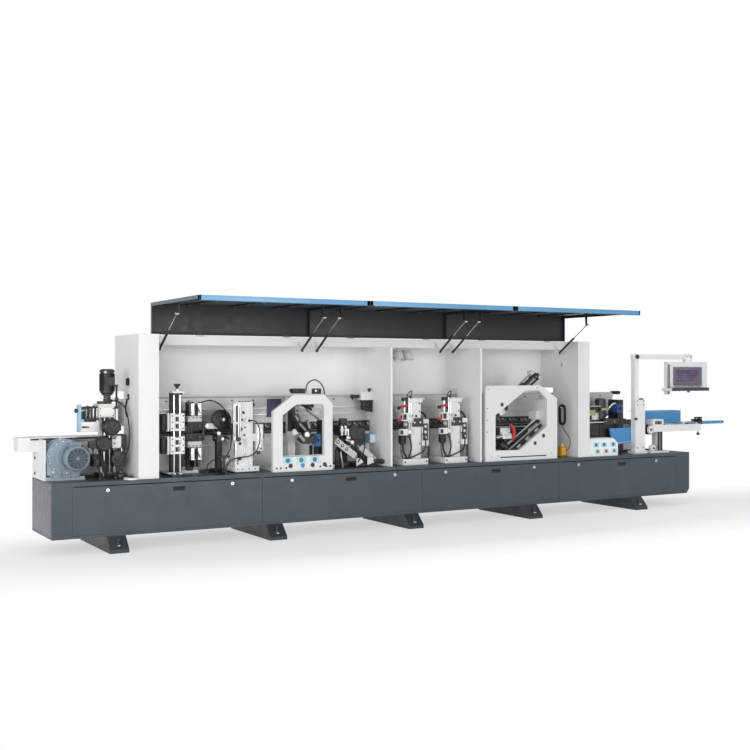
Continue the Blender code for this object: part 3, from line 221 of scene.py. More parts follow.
FINISH = {
    "base": (base_paint(), "base_grey"),
    # A lighter grey for the left-facing end faces (the base's end panel and the first lid's left flange)
    # stands for the light falling from the left: painted light.
    "end_grey": (painted("lit_end_paint", (0.15, 0.165, 0.185), 0.42), "base_grey"),
    "foot": (painted("foot_paint", (0.052, 0.058, 0.066), 0.5), "base_grey"),
    "lid": (painted("lid_paint", (0.013, 0.016, 0.020), 0.42, 0.12), "lid_grey"),
    "lid_under": (painted("lid_top_paint", (0.088, 0.120, 0.160), 0.36, 0.12, coat=0.15), "lid_grey"),
    "lid_trim": (painted("lid_trim_paint", (0.11, 0.30, 0.51), 0.34, 0.10, coat=0.2), "blue_paint"),
    "white": (painted("white_paint", (0.765, 0.77, 0.775), 0.40, 0.02), "white_paint"),
    "panel": (painted("panel_paint", (0.85, 0.865, 0.85), 0.5, 0.02), "white_paint"),
    "cream": (painted("cream_paint", (0.66, 0.64, 0.56), 0.44, 0.04), "cream_paint"),
    "motor": (painted("motor_paint", (0.185, 0.245, 0.30), 0.42, 0.1, coat=0.1), "motor_blue_grey"),
    "gearbox": (painted("gearbox_paint", (0.30, 0.37, 0.43), 0.4, 0.08, coat=0.1), "motor_blue_grey"),
    "blue": (painted("blue_paint", (0.055, 0.245, 0.52), 0.36, 0.08, coat=0.15), "blue_paint"),
    "sky": (painted("sky_paint", (0.30, 0.50, 0.66), 0.4, 0.06), "blue_paint"),
    "red": (painted("red_paint", (0.48, 0.02, 0.03), 0.36, 0.08, coat=0.2), "white_paint"),
    "yellow": (plastic("yellow_plastic", (0.86, 0.45, 0.02), 0.42), "yellow_paint"),
    "black": (plastic("black_plastic", (0.018, 0.018, 0.02), 0.42), "black_plastic"),
    "rubber": (plastic("cable_rubber", (0.014, 0.014, 0.015), 0.6, 2200.0, 0.4), "black_rubber"),
    "white_cord": (plastic("white_sheath", (0.70, 0.70, 0.69), 0.5, 2200.0, 0.3), "white_cord"),
    "cast": (metal("cast_iron", (0.075, 0.076, 0.08), 0.48, scale=120.0, relief=0.4), "dark_metal"),
    "steel": (metal("bright_steel", (0.60, 0.61, 0.62), 0.26, (1.0, 1.0, 14.0)), "bright_steel"),
    "chrome": (metal("chrome_rod", (0.72, 0.73, 0.74), 0.1, scale=400.0, relief=0.05, spread=0.05),
               "chrome_rod"),
    "aluminium": (metal("drawn_aluminium", (0.66, 0.67, 0.68), 0.32, (0.4, 14.0, 14.0)), "aluminium"),
    "black_tube": (painted("black_gloss", (0.014, 0.014, 0.016), 0.25, 0.1, coat=0.4), "black_paint"),
    "pad": (plastic("chain_pad", (0.05, 0.052, 0.055), 0.55, 700.0, 0.5), "black_rubber"),
    "felt": (plastic("buff_cloth", (0.62, 0.58, 0.50), 0.85, 500.0, 1.0, 0.18), "white_paint"),
    "lens": (plastic("gauge_glass", (0.07, 0.27, 0.42), 0.12, 300.0, 0.0, 0.05), "blue_paint"),
    "ice": (plastic("gauge_case", (0.46, 0.70, 0.76), 0.35, 900.0, 0.05, 0.03), "white_paint"),
    "navy": (painted("navy_paint", (0.035, 0.04, 0.095), 0.4, 0.1), "blue_paint"),
    "deep_blue": (painted("deep_blue_paint", (0.02, 0.07, 0.24), 0.4, 0.1), "blue_paint"),
    "beam": (painted("beam_paint", (0.52, 0.53, 0.53), 0.4, 0.03, metallic=0.25), "aluminium"),
    "zinc": (metal("dull_zinc", (0.27, 0.27, 0.265), 0.46), "dark_metal"),
    "grey": (painted("grey_case", (0.20, 0.205, 0.21), 0.45, 0.08), "dark_metal"),
    "shelf": (painted("shelf_paint", (0.05, 0.045, 0.07), 0.45, 0.1), "black_paint"),
    "deep_grey": (painted("bezel_paint", (0.14, 0.135, 0.17), 0.45, 0.06), "dark_metal"),
    "sky_light": (painted("fence_top", (0.62, 0.70, 0.76), 0.35, 0.04), "aluminium"),
    "brass": (metal("dull_brass", (0.42, 0.40, 0.26), 0.42), "dark_metal"),
    "screen": (glowing("screen_glass", (0.055, 0.04, 0.075), 0.6), "black_plastic"),
}

CAD_FINISH = {
    "base_bed": "base", "hood_back_wall": "panel", "hood_roof": "white", "conveyor_track": "white",
    "pressure_beam": "beam", "drive_motor": "motor", "drive_gearbox": "gearbox", "main_switch": "black",
    "rounding_frame": "white", "end_trim_frame": "white", "gauge_box": "panel", "glue_unit": "cast",
    "glue_guard": "blue", "pendant_post": "white", "pendant_arm": "white", "pendant_box": "white",
    "infeed_fence": "blue", "tape_feeder": "white", "left_post": "white", "right_post": "white",
    "spare_coil": "rubber", "supply_box": "yellow", "upright_motor": "cast", "rounding_arm": "cast",
    "profile_scraper": "cast", "end_trim_saw_upper": "steel", "end_trim_saw_lower": "steel",
    "buffing_disc_unit": "cast", "buffing_unit": "cream", "flat_scraper": "white", "polish_column": "white",
    "polish_head": "white", "polish_unit": "cream", "fine_trim_1": "white", "fine_trim_2": "white",
}
for name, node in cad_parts.items():
    finish = CAD_FINISH.get(name)
    if name.startswith("base_door"):
        finish = "base"
    elif name.startswith("lid_"):
        finish = "lid"
    elif name.startswith("strut_tube"):
        finish = "black_tube"
    elif name.startswith("strut_rod"):
        finish = "chrome"
    elif name.startswith(("cable_", "hose_")):
        finish = "rubber"
    elif name == "coil_lead":
        finish = "white_cord"
    node.data.materials.clear()
    node.data.materials.append(FINISH[finish][0])


# ---------------------------------------------------------------- cords
CORD_GAP = 0.7


def smooth_route(spots, spacing):
    """Points along a smooth curve through the given spots, about one spacing apart."""
    spots = [Vector(spot) for spot in spots]
    padded = [spots[0] * 2 - spots[1], *spots, spots[-1] * 2 - spots[-2]]
    fine = [spots[0]]
    for before, start, end, after in zip(padded, padded[1:], padded[2:], padded[3:]):
        steps = max(1, round((end - start).length / spacing))
        for step in range(1, steps + 1):
            t = step / steps
            bend = (2 * before - 5 * start + 4 * end - after) * t ** 2
            twist = (3 * start - before - 3 * end + after) * t ** 3
            fine.append(0.5 * (2 * start + (end - before) * t + bend + twist))
    return fine


def free_cord(node, radius, spots, finish, smooth=True):
    """A cable or hose as one open curve that stands for the CAD tube of the same name.

    Its spots and radius are in millimetres.
    """
    curve = bpy.data.curves.new(f"{node}_line", "CURVE")
    curve.dimensions = "3D"
    curve.bevel_depth = radius * MM
    curve.bevel_resolution = 4
    curve.use_fill_caps = True
    route = [Vector(spot) for spot in spots]
    if smooth:
        reach = sum((b - a).length for a, b in zip(route, route[1:]))
        route = [route[0], *smooth_route(spots[1:-1], reach / 30), route[-1]]
    route = [PLACE @ spot for spot in route]
    path = curve.splines.new("POLY")
    path.points.add(len(route) - 1)
    for spot, place in zip(path.points, route):
        spot.co = (*place, 1.0)
    curve.materials.append(FINISH[finish][0])
    made = bpy.data.objects.new(f"{node}_line", curve)
    scene.collection.objects.link(made)
    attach(made, BODY)
    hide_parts(node)
    length = sum((b - a).length for a, b in zip(route, route[1:]))
    tuple(route[0])


GLANDS = ((575, 140), (440, 140), (1440, 240), (1580, 130))


def into_gland(number):
    x, y = GLANDS[number]
    top = FLOOR_TOP + 20 + CORD_GAP
    return [(x, y, top + 35), (x, y, top + 16), (x, y, top)]


CABLE = 5.5
free_cord(
    "cable_upright_motor", CABLE, [(580 + CORD_GAP, 265, 1262), (599, 265, 1262), (617, 265, 1261),
    (639, 262, 1253), (674, 250, 1223), (692, 232, 1176), (700, 216, 1132), (704, 199, 1087),
    (704, 180, 1036), (703, 167, 990), (700, 155, 944), (693, 145, 898), (679, 134, 847), (661, 126, 803),
    (638, 125, 761), (607, 130, 718), (584, 136, 676), *into_gland(0)], "rubber")
free_cord(
    "cable_buffing_motor", CABLE, [(375, 130, 856 - CORD_GAP), (375, 130, 837), (375, 130, 819),
    (376, 130, 795), (386, 126, 754), (410, 127, 712), (432, 134, 676), *into_gland(1)], "rubber")
free_cord(
    "cable_buffing_disc", CABLE, [(1360 + CORD_GAP, 355, 1225), (1379, 355, 1225), (1397, 355, 1226),
    (1419, 350, 1233), (1459, 328, 1248), (1497, 292, 1257), (1531, 261, 1244), (1562, 235, 1219),
    (1590, 214, 1186), (1617, 196, 1143), (1631, 186, 1098), (1640, 179, 1051), (1645, 174, 1004),
    (1649, 171, 950), (1648, 170, 902), (1644, 171, 854), (1632, 175, 802), (1612, 185, 760),
    (1576, 201, 734), (1532, 219, 726), (1483, 233, 709), (1450, 239, 676), *into_gland(2)], "rubber")
free_cord(
    "cable_scraper", CABLE, [(1800 + CORD_GAP, 100, 1072), (1819, 100, 1072), (1837, 100, 1071),
    (1858, 99, 1061), (1885, 97, 1022), (1894, 94, 975), (1895, 91, 921), (1890, 89, 873),
    (1876, 87, 827), (1847, 86, 782), (1806, 86, 757), (1760, 88, 745), (1712, 94, 742), (1666, 104, 734),
    (1619, 119, 712), (1589, 128, 676), *into_gland(3)], "rubber")
free_cord(
    "hose_rounding", 6, [(2445, 255, 1330 + CORD_GAP), (2445, 255, 1348), (2446, 255, 1366),
    (2454, 256, 1389), (2487, 258, 1423), (2537, 260, 1439), (2582, 260, 1423), (2619, 260, 1385),
    (2637, 260, 1340), (2641, 260, 1292), (2640, 260, 1238), (2640, 260, 1190), (2640, 260, 1166),
    (2640, 260, 1148), (2640, 260, 1130 + CORD_GAP)], "rubber")

COIL_X = 5563.7
COIL_MIDDLE = (267, 1045)
COIL_HALF = (55, 115)
WIRE = 3
free_cord(
    "coil_lead", WIRE, [(COIL_X, 267, 930 - CORD_GAP), (COIL_X, 267, 918), (COIL_X, 225, 870),
    (COIL_X, 150, 800), (COIL_X, 135, 740), (COIL_X - 12, 155, 680), (COIL_X - 20, 188, 665),
    (COIL_X - 20, 200 - CORD_GAP, 665)], "rubber")


def oval(share, half_width, half_height):
    """A point round an upright oval with round ends, its share counted from the bottom."""
    straight = half_height - half_width
    arc = math.pi * half_width
    whole = 2 * arc + 4 * straight
    run = share * whole
    if run < arc / 2:
        angle = -math.pi / 2 + run / half_width
        return half_width * math.cos(angle), -straight + half_width * math.sin(angle)
    run -= arc / 2
    if run < 2 * straight:
        return half_width, -straight + run
    run -= 2 * straight
    if run < arc:
        angle = run / half_width
        return half_width * math.cos(angle), straight + half_width * math.sin(angle)
    run -= arc
    if run < 2 * straight:
        return -half_width, straight - run
    run -= 2 * straight
    angle = math.pi + run / half_width
    return half_width * math.cos(angle), -straight + half_width * math.sin(angle)


def coil_points():
    """Twelve turns in three layers of four, each turn easing into the next at the bottom."""
    turns, steps = 12, 28
    points = []
    for count in range(turns * steps + 1):
        turn, step = divmod(min(count, turns * steps - 1), steps)
        share = (count - turn * steps) / steps
        ease = max(0.0, (share - 0.8) / 0.2)
        ease = ease * ease * (3 - 2 * ease)

        def place(index):
            layer, row = divmod(min(index, turns - 1), 4)
            row = row if layer % 2 == 0 else 3 - row
            return 5552.7 + WIRE + 0.5 + layer * 7.5, row * 6.33

        (x, inset), (next_x, next_inset) = place(turn), place(turn + 1)
        x, inset = x + (next_x - x) * ease, inset + (next_inset - inset) * ease
        across, up = oval(share, COIL_HALF[0] - WIRE - inset, COIL_HALF[1] - WIRE - inset)
        points.append((x, COIL_MIDDLE[0] + across, COIL_MIDDLE[1] + up))
    return points


free_cord("spare_coil", WIRE, coil_points(), "rubber", smooth=False)


# ---------------------------------------------------------------- modelling kit
def direction(axis):
    """A unit vector from an axis name such as "-Y", or from a vector."""
    if isinstance(axis, str):
        return AXES[axis[-1]] * (-1 if axis[0] == "-" else 1)
    return Vector(axis).normalized()


class Kit:
    """Small solids of one group, gathered into one piece for each finish, all on one body."""

    def __init__(self, name, body=BODY, stands_for=()):
        self.name, self.body, self.stands_for = name, body, stands_for
        self.meshes = {}

    def mesh(self, finish):
        return self.meshes.setdefault(finish, bmesh.new())

    def _bevel(self, mesh, faces, width, segments=2):
        edges = {edge for face in faces for edge in face.edges if edge.calc_face_angle(0.0) > 0.6}
        if width > 0.0 and edges:
            bmesh.ops.bevel(mesh, geom=list(edges), offset=width, segments=segments, affect="EDGES",
                            clamp_overlap=True, profile=0.7)

    def box(self, finish, *rows):
        """Boxes from rows of low and high X, Y and Z, then the bevel and a turn about the middle.

        The bevel is 3 mm where it isn't given. The turn is (axis, degrees).
        """
        for row in rows:
            spans = list(zip(row[0:6:2], row[1:6:2]))
            bevel, turn = (*row[6:], *(BEVEL, None)[len(row) - 6:])
            mesh = self.mesh(finish)
            middle = Vector([(low + high) / 2 for low, high in spans])
            size = [high - low for low, high in spans]
            spin = Matrix.Rotation(math.radians(turn[1]), 4, turn[0]) if turn else Matrix.Identity(4)
            place = Matrix.Translation(middle) @ spin @ Matrix.Diagonal((*size, 1.0))
            made = bmesh.ops.create_cube(mesh, size=1.0, matrix=place)
            faces = {face for vert in made["verts"] for face in vert.link_faces}
            self._bevel(mesh, faces, min(bevel, min(size) * SMALL_SHARE))

    def rod(self, finish, *rows):
        """Round bars from rows of both ends' X, Y and Z and the radius, then sides and bevel."""
        for row in rows:
            self.bar(finish, row[0:3], row[3:6], *row[6:])

    def bar(self, finish, start, end, radius, sides=24, bevel=2):
        """One round bar between two points."""
        mesh = self.mesh(finish)
        start, end = Vector(start), Vector(end)
        along = end - start
        turn = along.to_track_quat("Z", "Y").to_matrix().to_4x4()
        made = bmesh.ops.create_cone(
            mesh, cap_ends=True, segments=sides, radius1=radius, radius2=radius, depth=along.length,
            matrix=Matrix.Translation((start + end) / 2) @ turn)
        rims = {face for vert in made["verts"] for face in vert.link_faces if len(face.verts) > 4}
        edges = {edge for face in rims for edge in face.edges}
        width = min(bevel, radius * SMALL_SHARE, along.length * SMALL_SHARE)
        if width > 0.0:
            bmesh.ops.bevel(mesh, geom=list(edges), offset=width, segments=2, affect="EDGES", profile=0.7)

    def lathe(self, finish, start, axis, profile, sides=32):
        """A turned form: profile gives (distance along the axis, radius) from the start."""
        mesh = self.mesh(finish)
        turn = direction(axis).to_track_quat("Z", "Y").to_matrix()
        origin = Vector(start)
        rings = []
        for along, radius in profile:
            ring = []
            for step in range(sides):
                angle = 2 * math.pi * step / sides
                local = Vector((radius * math.cos(angle), radius * math.sin(angle), along))
                ring.append(mesh.verts.new(origin + turn @ local))
            rings.append(ring)
        for low, high in zip(rings, rings[1:]):
            for step in range(sides):
                after = (step + 1) % sides
                mesh.faces.new((low[step], low[after], high[after], high[step]))
        mesh.faces.new(rings[0][::-1])
        mesh.faces.new(rings[-1])

    def prism(self, finish, points, near, far, plane="XZ", bevel=2):
        """A flat plate from an outline in a plane, between two distances along the third axis."""
        mesh = self.mesh(finish)

        def spot(point, depth):
            a, b = point
            place = {"XZ": (a, depth, b), "YZ": (depth, a, b), "XY": (a, b, depth)}[plane]
            return mesh.verts.new(place)

        front = [spot(point, near) for point in points]
        back = [spot(point, far) for point in points]
        faces = [mesh.faces.new(front), mesh.faces.new(back[::-1])]
        for step in range(len(points)):
            after = (step + 1) % len(points)
            faces.append(mesh.faces.new((front[step], back[step], back[after], front[after])))
        bmesh.ops.recalc_face_normals(mesh, faces=faces)
        self._bevel(mesh, faces, min(bevel, abs(far - near) * SMALL_SHARE), 1)

    def tube(self, finish, spots, radius, sides=10, spacing=4.0):
        """A bent rod or hose swept along a smooth route."""
        mesh = self.mesh(finish)
        route = smooth_route(spots, radius * spacing)
        last = None
        normal = None
        for index, place in enumerate(route):
            ahead = route[min(index + 1, len(route) - 1)] - route[max(index - 1, 0)]
            ahead.normalize()
            if normal is None:
                normal = ahead.orthogonal().normalized()
            normal = (normal - ahead * normal.dot(ahead)).normalized()
            side = ahead.cross(normal)
            ring = [mesh.verts.new(place + (normal * math.cos(a) + side * math.sin(a)) * radius)
                    for a in (2 * math.pi * step / sides for step in range(sides))]
            if last:
                for step in range(sides):
                    after = (step + 1) % sides
                    mesh.faces.new((last[step], last[after], ring[after], ring[step]))
            else:
                mesh.faces.new(ring[::-1])
            last = ring
        mesh.faces.new(last)

    def bolt(self, finish, axis, size, height, *places):
        """Socket screw heads of one size, each with its socket."""
        for place in places:
            self.lathe(finish, place, axis, [
                (0.0, size * 0.9), (height * 0.15, size), (height * 0.85, size), (height, size * 0.88),
                (height, size * 0.5), (height * 0.45, size * 0.42)], 12)

    def knob(self, place, axis, radius, depth):
        """A moulded hand knob with a waisted skirt."""
        shares = [(0.0, 0.55), (0.35, 0.55), (0.42, 0.95), (0.5, 1.0), (0.85, 1.0), (1.0, 0.86), (1.0, 0.2)]
        self.lathe("black", place, axis, [(depth * along, radius * out) for along, out in shares], 28)

    def ribs(self, finish, x, y, z, count, along, thick):
        """A row of cooling ribs spread along one axis inside the given box."""
        spans = {"X": x, "Y": y, "Z": z}
        low, high = spans[along]
        pitch = (high - low - thick) / (count - 1)
        for index in range(count):
            spans[along] = (low + pitch * index, low + pitch * index + thick)
            self.box(finish, (*spans["X"], *spans["Y"], *spans["Z"], 1))

    def done(self):
        for finish, mesh in self.meshes.items():
            bmesh.ops.recalc_face_normals(mesh, faces=mesh.faces)
            bmesh.ops.transform(mesh, matrix=PLACE, verts=mesh.verts)
            data = bpy.data.meshes.new(f"{self.name}_{finish}")
            mesh.to_mesh(data)
            mesh.free()
            data.materials.append(FINISH[finish][0])
            data.polygons.foreach_set("use_smooth", [True] * len(data.polygons))
            data.set_sharp_from_angle(angle=math.radians(35))
            piece = bpy.data.objects.new(f"{self.name}_{finish}", data)
            scene.collection.objects.link(piece)
            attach(piece, self.body)
            if self.stands_for:
                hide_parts(*self.stands_for)


def fins(kit, finish, x, z, near, far, inner, outer, count, thick=3, skip=(0, 0)):
    """Cooling fins round a motor whose axis runs along Y, none between the two skipped angles."""
    middle, half = (inner + outer) / 2, (outer - inner) / 2 + 2
    for index in range(count):
        angle = 2 * math.pi * index / count
        if skip[0] < math.degrees(angle) < skip[1]:
            continue
        cx, cz = x + middle * math.cos(angle), z + middle * math.sin(angle)
        turn = ("Y", -math.degrees(angle))
        kit.box(finish, (cx - half, cx + half, near, far, cz - thick / 2, cz + thick / 2, 0.8, turn))


def upright_fins(kit, finish, x, y, low, high, inner, outer, count, thick=3):
    """Cooling fins round a motor that stands on end."""
    middle, half = (inner + outer) / 2, (outer - inner) / 2 + 2
    for index in range(count):
        angle = 2 * math.pi * index / count
        cx, cy = x + middle * math.cos(angle), y + middle * math.sin(angle)
        turn = ("Z", math.degrees(angle))
        kit.box(finish, (cx - half, cx + half, cy - thick / 2, cy + thick / 2, low, high, 0.8, turn))


def ring(kit, finish, centre, axis, radius, thick, sides=32, round_sides=8):
    """A round wire or bead bent into a ring."""
    turn = direction(axis).to_track_quat("Z", "Y").to_matrix()
    mesh = kit.mesh(finish)
    rings = []
    for step in range(sides):
        angle = 2 * math.pi * step / sides
        out = Vector((math.cos(angle), math.sin(angle), 0.0))
        row = []
        for turn_step in range(round_sides):
            around = 2 * math.pi * turn_step / round_sides
            local = out * (radius + thick * math.cos(around)) + Vector((0, 0, thick * math.sin(around)))
            row.append(mesh.verts.new(Vector(centre) + turn @ local))
        rings.append(row)
    for step in range(sides):
        here, there = rings[step], rings[(step + 1) % sides]
        for turn_step in range(round_sides):
            after = (turn_step + 1) % round_sides
            mesh.faces.new((here[turn_step], there[turn_step], there[after], here[after]))


def small_motor(kit, x, z, front, rear, radius, finish="black", fin_count=18):
    """A finned motor along Y with a domed end bell facing the front."""
    kit.lathe(
        finish, (x, rear, z), "-Y", [(0, radius * 0.8), (6, radius * 0.9),
        (rear - front - 34, radius * 0.9), (rear - front - 32, radius), (rear - front - 14, radius),
        (rear - front - 6, radius * 0.93), (rear - front, radius * 0.78),
        (rear - front - 4, radius * 0.72), (rear - front - 4, radius * 0.3),
        (rear - front, radius * 0.26)])
    fins(kit, finish, x, z, front + 36, rear - 8, radius * 0.86, radius * 0.99, fin_count)
    ring(kit, "cast", (x, front + 4, z), (0, 1, 0), radius * 0.5, radius * 0.05, 24, 6)
    for index in range(4):
        angle = math.radians(45 + 90 * index)
        kit.bolt(
            "steel", "-Y", 5, 5,
            (x + radius * 0.82 * math.cos(angle), front + 14, z + radius * 0.82 * math.sin(angle)))


# ---------------------------------------------------------------- base
def base_details():
    kit = Kit("base_trim")
    for index in range(5):
        start = 450 + index * 1460
        middle = start + 82.5
        for y in (-85, 785):
            kit.lathe(
                "black", (middle, y, 36), "Z", [(0, 16), (4, 18), (14, 18), (18, 13), (18, 8), (50, 8),
                (52, 6)], 16)
            kit.lathe("steel", (middle, y, 56), "Z", [(0, 13), (1, 14.5), (9, 14.5), (10, 13)], 6)
    for x, y in GLANDS:
        kit.lathe(
            "black", (x, y, FLOOR_TOP), "Z", [(0, 18), (1, 19), (6, 19), (7, 16), (12, 16), (18.5, 12.5),
            (19.5, 12.5)], 12)
    kit.box("foot", (4, 7196, 4, 10, 565, 596.5, 1))
    for start, stop in ((20, 700), (950, 1950), (2650, 3220), (3280, 4280), (4340, 5520), (6200, 7100)):
        kit.box("foot", (start, stop, 425, 435, FLOOR_TOP - 1, FLOOR_TOP + 22, 2))
    kit.done()
    end = Kit("base_end_panel")
    # The end panel's lighter grey is painted light from the left.
    end.box("end_grey", (-2.5, 0.5, 20, 680, 150, 585, 1))
    for y in (50, 650):
        for z in (180, 555):
            end.bolt("steel", "-X", 7, 4, (-2, y, z))
    end.done()
    cap = Kit("base_cap")
    cap.lathe(
        "white", (685, 55, FLOOR_TOP - 1), "Z", [(0, 66), (12, 66), (16, 62), (16, 26), (10, 22)], 36)
    cap.lathe("black", (685, 55, FLOOR_TOP + 6), "Z", [(0, 22), (18, 22), (22, 18), (22, 6)], 24)
    cap.done()


DOOR_HANDLES = (1093, 2792, 4479, 6183)
DOOR_LOCKS = ((464, 1588), (2175, 3274), (3861, 4967), (5565, 6687))


def door_details():
    for index, (handle, locks) in enumerate(zip(DOOR_HANDLES, DOOR_LOCKS)):
        kit = Kit(f"door_{index + 1}_fittings", f"base_door_{index + 1}")
        low, high = handle - 56, handle + 56
        kit.box("black", (low, high, -4, 1, 484, 488.5, 1))
        kit.box(
            "black", (low, high, -4, 1, 518.5, 523, 1), (low, low + 6, -4, 1, 488.5, 518.5, 1),
            (high - 6, high, -4, 1, 488.5, 518.5, 1))
        # The start leans a hair more along Y than along Z, which settles how the tube's ring is turned.
        kit.tube(
            "black", [(low + 12, -0.999, 515), (low + 14, -8, 508), (handle, -10, 506), (high - 14, -8, 508),
            (high - 12, -1, 515)], 4)
        kit.box("rubber", (low + 4, high - 4, -1.5, 0.8, 487, 520, 0.4))
        for lock in locks:
            kit.lathe(
                "steel", (lock, 0, 521), "-Y", [(0, 15.5), (2, 16.5), (5, 16.5), (6.5, 15), (6.5, 9),
                (4, 8.5)], 28)
            kit.box("black", (lock - 1.5, lock + 1.5, -5.5, -3.5, 515, 527, 0.5))
        edge_low, edge_high = 168 + index * 1710 + 4, 168 + (index + 1) * 1710 - 4
        kit.box("base", (edge_low + 10, edge_high - 10, -1.2, 0.4, 163, 166, 0.4))
        kit.done()


# ---------------------------------------------------------------- hood and lids
LIDS = ((922, 2468.3), (2472.3, 4018.7), (4022.7, 5569))
HINGE_Y, HINGE_Z = 258, 1841
LID_FRONT, LID_TOP, SKIN_REAR = -911, 2124, 260
EAR_OUTLINE = [(-285, 2123), (-277, 1996), (-253, 1996), (-245, 2123)]
LID_EARS = (((979, 1), (2368.3, -1)), ((2527.3, 1), (3918.7, -1)), ((4077.7, 1), (5459, -1)))


def lid_details():
    """Each lid as folded sheet with its hinge leaves, strut ears and the blue grip along the front."""
    flange = [(SKIN_REAR, 1845), (SKIN_REAR, LID_TOP), (LID_FRONT, LID_TOP), (LID_FRONT, 2094),
              (228, 2094), (228, 1845)]
    for index, (low, high) in enumerate(LIDS):
        kit = Kit(f"lid_{index + 1}_panels", f"lid_{index + 1}", (f"lid_{index + 1}",))
        kit.box(
            "lid", (low, high, 258, SKIN_REAR, 1845, LID_TOP, 0.6),
            (low, high, -932.5, -903, 2078.2, 2082.2, 1),
            (low + 2, high - 2, -903, -899, 2090, 2122, 0.8),
            (low + 4, high - 4, -420, -405, 2112, 2122.5))
        kit.prism("lid", flange, high - 2, high, "YZ", 0.5)
        kit.box("lid_under", (low, high, LID_FRONT, SKIN_REAR, 2122, LID_TOP, 0.6))
        # The first lid's left flange takes the lighter end grey: painted light from the left.
        kit.prism("end_grey" if index == 0 else "lid", flange, low, low + 2, "YZ", 0.5)
        kit.box("lid_trim", (low, high, -933, -903, 2081.5, 2123.5, 4))
        kit.box("rubber", (low + 10, high - 10, 251.5, 258, 1853, 1868, 2))
        left_cap, right_cap = 30 if index else 18, 30 if index < 2 else 18
        for start, end in ((low, low + left_cap), (high - right_cap, high)):
            kit.box("lid", (start, end, -933, -895, 2078, 2124))
        for grip in (low + 340, (low + high) / 2, high - 340):
            kit.box("lid", (grip - 20, grip + 20, LID_FRONT + 10, 250, 2109, 2122.5))
            for y in (-800, -450, -100, 200):
                kit.bolt("steel", "-Z", 6, 3, (grip, y, 2109))
        for offset in (425, 1285):
            start = low + offset
            kit.box("lid", (start, start + 70, 257, SKIN_REAR, 1838, 1856, 0.6))
            kit.box("black", (start - 2, start + 72, 249.5, 258.5, 1846, 1872, 2))
            for step in range(3):
                run = start + step * 23.5
                kit.rod("steel", (run, HINGE_Y, HINGE_Z, run + 23, HINGE_Y, HINGE_Z, 8, 16, 1))
        for x, side in LID_EARS[index]:
            middle = x + side * 12.3
            near, far = sorted((middle, middle + side * 5))
            kit.prism("lid", EAR_OUTLINE, near, far, "YZ", 0.8)
            kit.box("lid", (min(near, x - 20), max(far, x + 20), -295, -235, 2117, 2122.5, 1))
        kit.done()


def hood_details():
    kit = Kit("hood_seals")
    # Both black strips stand for shade, not parts. The one along the back wall's lower edge is the painted
    # shadow under the wall's fold. The upright one at X 4324–4334 is the painted shadow in the gap beside
    # the partition, in front of the end trimming frame.
    kit.box("rubber", (*HOOD_SPAN, 648.5, 656.5, 1194, 1207), (4324.5, 4334, 100, 140, 800, 1280))
    kit.box("white", (*HOOD_SPAN, 267.5, 270.5, 1757, 1760, 1))
    for x in (1900, 2950, 3850, 4950):
        kit.box("panel", (x, x + 4, 653.5, 655.5, 1210, 1750, 0.8))
    for x in range(12):
        kit.bolt("steel", "-Y", 6, 3, (1050 + x * 405, 655, 1225))
    kit.done()
    elbows = Kit("dust_elbows")
    for x in (3680, 3790):
        elbows.rod("white", (x, 655, 1700, x, 590, 1700, 42, 28))
        elbows.lathe(
            "white", (x, 600, 1700), (0.0, -0.35, -1.0), [(-10, 40), (0, 43), (50, 43), (52, 47),
            (66, 47), (68, 38), (55, 34)], 28)
    elbows.done()


def strut_pin(kit, x, y, z):
    """The pin with two washers that holds one end of a strut."""
    kit.lathe(
        "steel", (x - 13.5, y, z), "X", [(-6, 6), (-6, 9), (0, 9), (0, 4), (27, 4), (27, 9), (33, 9),
        (33, 6)], 16)
    kit.done()


def post_details():
    kit = Kit("post_fittings")
    x = 735
    kit.lathe("black", (x, 290, 1308), "-X", [(0, 14), (3, 14), (6, 12), (12, 12), (14, 10)], 24)
    kit.lathe("steel", (x, 315, 1312), "-X", [(0, 10), (3, 10), (4, 8)], 20)
    kit.lathe("steel", (x, 300, 1426), "-X", [(0, 42), (2, 42), (3, 39)], 32)
    kit.rod("steel", (5575, 260, 1611, 5552, 260, 1611, 5, 12))
    kit.tube(
        "black", [(x - 4, 285, 1283), (x - 18, 282, 1275), (x - 22, 300, 1235), (x - 20, 325, 1195),
        (x - 16, 318, 1155), (x - 12, 305, 1120)], 8)
    kit.rod("black", (x, 285, 1283, x - 10, 285, 1283, 13, 20))
    kit.tube("black", [(5560, 260, 1611), (5548, 260, 1600), (5548, 260, 1585), (5556, 260, 1577)], 4)
    kit.tube(
        "white_cord", [(5560.5, 262, 1575), (5561.5, 264, 1450), (5561.5, 266, 1300),
        (5562.5, 267, 1165)], 2.2, 8, 12)
    for y in (60, 400):
        for z in (680, 1100, 1550):
            if (y, z) != (400, 1100):
                kit.lathe("white", (x, y, z), "-X", [(0, 6), (1, 6.5), (2.2, 5)], 16)
    kit.done()
    for number, (x, _) in enumerate(sum(LID_EARS, ()), 1):
        strut_pin(Kit(f"strut_bracket_{number}"), x, 195, 1714)
    for number, (x, _) in enumerate(sum(LID_EARS, ()), 1):
        strut_pin(Kit(f"strut_head_{number}", f"lid_{(number + 1) // 2}"), x, -265, 2008)


